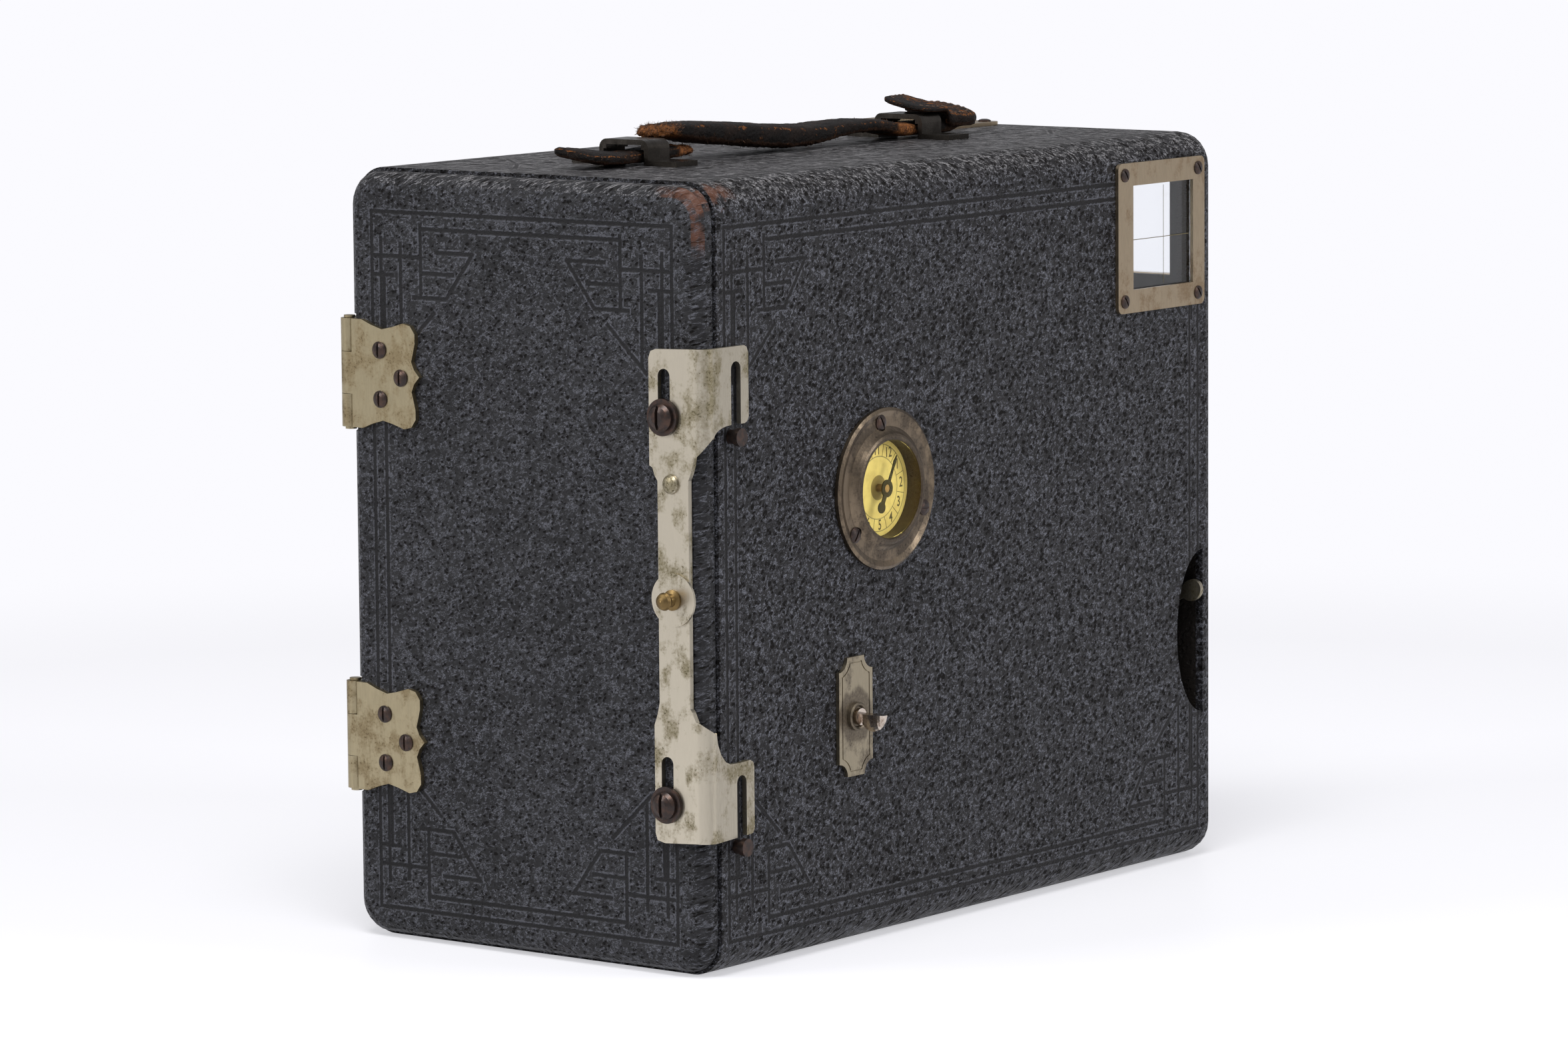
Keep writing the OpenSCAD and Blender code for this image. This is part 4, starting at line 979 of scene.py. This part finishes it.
def make_torn_tab():
    bm = even_copy("handle_torn_tab", TAB_VOXEL)
    swell(bm, tab_relief)
    fibres("tab_torn_fibres", bm, at_tab_front, count=150, length=1.1, seed=8, body="torn_tab")
    fibres("tab_edge_fibres", bm, at_tab_edge, count=60, length=0.6, seed=9, body="torn_tab")
    piece = new_piece("torn_tab_leather", bm, "torn_tab", "torn_tab")
    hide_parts("handle_torn_tab")


# Print on the dial and cross lines of the side finder


SIDE_RIGHT = Vector((0, -1, 0))
SIDE_UP = Vector((0, 0, 1))
SIDE_OUT = Vector((-1, 0, 0))
SIDE_TURN = Matrix((SIDE_RIGHT, SIDE_UP, SIDE_OUT)).transposed().to_4x4()
HOURS = 12
HOUR_TURN = 30
DIAL_TURN = 27
FIGURE_SIZE = 3.3
FIGURE_NARROW = 0.8
FIGURE_RADIUS = 8.55
FIGURE_SWELL = 0.012
PRINT_THICK = 0.02
DIVISION_WIDE = 0.13
CROSS_Y = -77.9
CROSS_Z = 151.4
CROSS_IN_Y = 5.5
CROSS_IN_Z = 6
CROSS_WIDE = 0.16
CROSS_THICK = 0.03


def flat_text(text, size):
    """The faces of a short text as a bmesh in the XY plane, in millimetres, centred."""
    curve = bpy.data.curves.new("figure", "FONT")
    curve.body = text
    curve.size = size
    curve.align_x = "CENTER"
    curve.align_y = "CENTER"
    curve.offset = size * FIGURE_SWELL
    holder = add_object("figure", curve)
    graph = bpy.context.evaluated_depsgraph_get()
    graph.update()
    bm = bmesh.new()
    bm.from_mesh(holder.evaluated_get(graph).to_mesh())
    bpy.data.objects.remove(holder)
    return bm


def add_bar(bm, a, b, width, height, up):
    """A thin straight bar from a to b that lies on the plane with the normal up."""
    run = (b - a).normalized()
    turn = Matrix((run, up.cross(run), up)).transposed().to_4x4()
    size = Matrix.Diagonal(((b - a).length, width, height, 1))
    bmesh.ops.create_cube(bm, size=1, matrix=Matrix.Translation((a + b) / 2) @ turn @ size)


def dial_place(radius, turn):
    """A place on the printed dial, turn in degrees clockwise from the top."""
    angle = math.radians(turn)
    across = SIDE_RIGHT * math.sin(angle) + SIDE_UP * math.cos(angle)
    return Vector((DIAL_LO.x - PRINT_THICK, DIAL_Y, DIAL_Z)) + across * radius


def make_dial_print():
    """Figures 1 to 12 and the division lines between them."""
    bm = bmesh.new()
    narrow = Matrix.Diagonal((FIGURE_NARROW, 1, 1, 1))
    for hour in range(1, HOURS + 1):
        turn = DIAL_TURN + HOUR_TURN * hour
        figure = flat_text(str(hour), FIGURE_SIZE)
        figure.transform(Matrix.Translation(dial_place(FIGURE_RADIUS, turn)) @ SIDE_TURN @ narrow)
        part = bpy.data.meshes.new("part")
        figure.to_mesh(part)
        figure.free()
        bm.from_mesh(part)
        bpy.data.meshes.remove(part)
        line = [dial_place(radius, turn + HOUR_TURN / 2) for radius in (DIAL_RING_IN, DIAL_RING_OUT)]
        add_bar(bm, *line, DIVISION_WIDE, PRINT_THICK, SIDE_OUT)
    new_piece("dial_print", bm, "figures", "case", smooth=False)


def make_cross_lines():
    """The cross engraved on the side finder's glass."""
    lo, hi = edges("side_finder_plate")
    x = SIDE - 0.01
    bm = bmesh.new()
    upright = (Vector((x, CROSS_Y, lo.z + CROSS_IN_Z)), Vector((x, CROSS_Y, hi.z - CROSS_IN_Z)))
    level = (Vector((x, lo.y + CROSS_IN_Y, CROSS_Z)), Vector((x, hi.y - CROSS_IN_Y, CROSS_Z)))
    for a, b in (upright, level):
        add_bar(bm, a, b, CROSS_WIDE, CROSS_THICK, SIDE_OUT)
    new_piece("finder_cross_lines", bm, "figures", "case", smooth=False)


make_strap()
make_torn_tab()
make_dial_print()
make_cross_lines()


# Camera, light and floor


FOCAL_PX = 10057.03
CAM_PLACE = Vector((-940.71, 1238.66, 281.13))
CAM_RIGHT = Vector((-0.79594, -0.60532, -0.00795))
CAM_UP = Vector((0.06849, -0.1031, 0.99231))
PHOTO_WIDTH_PX = 2353
SENSOR = 36.0
WORLD_LIGHT = 0.3
GLOSSY_SHARE = 0.2
LIGHT_AIM = Vector((0, 0, 90))
# Lamps: name, place, width and height, watts
LIGHTS = (
    ("over", (-300, 500, 1300), (700, 700), 19),
    ("left", (900, 1500, 900), (600, 600), 16),
    ("right", (-1500, -500, 800), (600, 700), 14),
)
FLOOR_HALF = 9000
FLOOR_DROP = 0.02


def make_camera():
    """The camera at the photograph's place and angle."""
    data = bpy.data.cameras.new("camera")
    data.sensor_width = SENSOR
    data.lens = SENSOR * FOCAL_PX / PHOTO_WIDTH_PX
    data.clip_start = 0.05
    camera = add_object("camera", data)
    back = CAM_RIGHT.cross(CAM_UP)
    turn = Matrix((CAM_RIGHT, CAM_UP, back)).transposed().to_4x4()
    camera.matrix_world = Matrix.Translation(CAM_PLACE * MM) @ turn
    bpy.context.scene.camera = camera


def make_light(name, place, size, watts):
    """A soft area lamp that points at the middle of the case."""
    data = bpy.data.lights.new(name, "AREA")
    data.shape = "RECTANGLE"
    data.size, data.size_y = size[0] * MM, size[1] * MM
    data.energy = watts
    lamp = add_object(name, data)
    lamp.location = Vector(place) * MM
    lamp.rotation_mode = "QUATERNION"
    lamp.rotation_quaternion = (LIGHT_AIM - Vector(place)).to_track_quat("-Z", "Y")


def make_world():
    """Even light, seen as a white background by the camera, in metal and through glass."""
    world = bpy.data.worlds.new("world")
    bpy.context.scene.world = world
    world.use_nodes = True
    tree = world.node_tree
    background = tree.nodes["Background"]
    path = tree.nodes.new("ShaderNodeLightPath")
    seen = path.outputs["Is Camera Ray"]
    for kind, part_seen in (("Is Glossy Ray", GLOSSY_SHARE), ("Is Transmission Ray", 1.0)):
        part = tree.nodes.new("ShaderNodeMath")
        part.operation = "MULTIPLY"
        tree.links.new(path.outputs[kind], part.inputs[0])
        part.inputs[1].default_value = part_seen
        most = tree.nodes.new("ShaderNodeMath")
        most.operation = "MAXIMUM"
        tree.links.new(seen, most.inputs[0])
        tree.links.new(part.outputs[0], most.inputs[1])
        seen = most.outputs[0]
    strength = tree.nodes.new("ShaderNodeMapRange")
    tree.links.new(seen, strength.inputs["Value"])
    strength.inputs["To Min"].default_value = WORLD_LIGHT
    strength.inputs["To Max"].default_value = 1.0
    tree.links.new(strength.outputs[0], background.inputs["Strength"])
    background.inputs["Color"].default_value = (*BACKGROUND, 1)


def make_floor():
    """A wide floor just below the case's underside."""
    bm = bmesh.new()
    for x, y in ((-1, -1), (1, -1), (1, 1), (-1, 1)):
        bm.verts.new((x * FLOOR_HALF, y * FLOOR_HALF, -FLOOR_DROP))
    bm.faces.new(bm.verts)
    mesh = bpy.data.meshes.new("floor")
    bmesh.ops.transform(bm, matrix=Matrix.Scale(MM, 4), verts=bm.verts)
    bm.to_mesh(mesh)
    bm.free()
    mesh.materials.append(MATERIALS["floor"])
    add_object("floor", mesh)


make_camera()
make_world()
make_floor()
for lamp_values in LIGHTS:
    make_light(*lamp_values)
bpy.context.scene.view_settings.view_transform = "Standard"
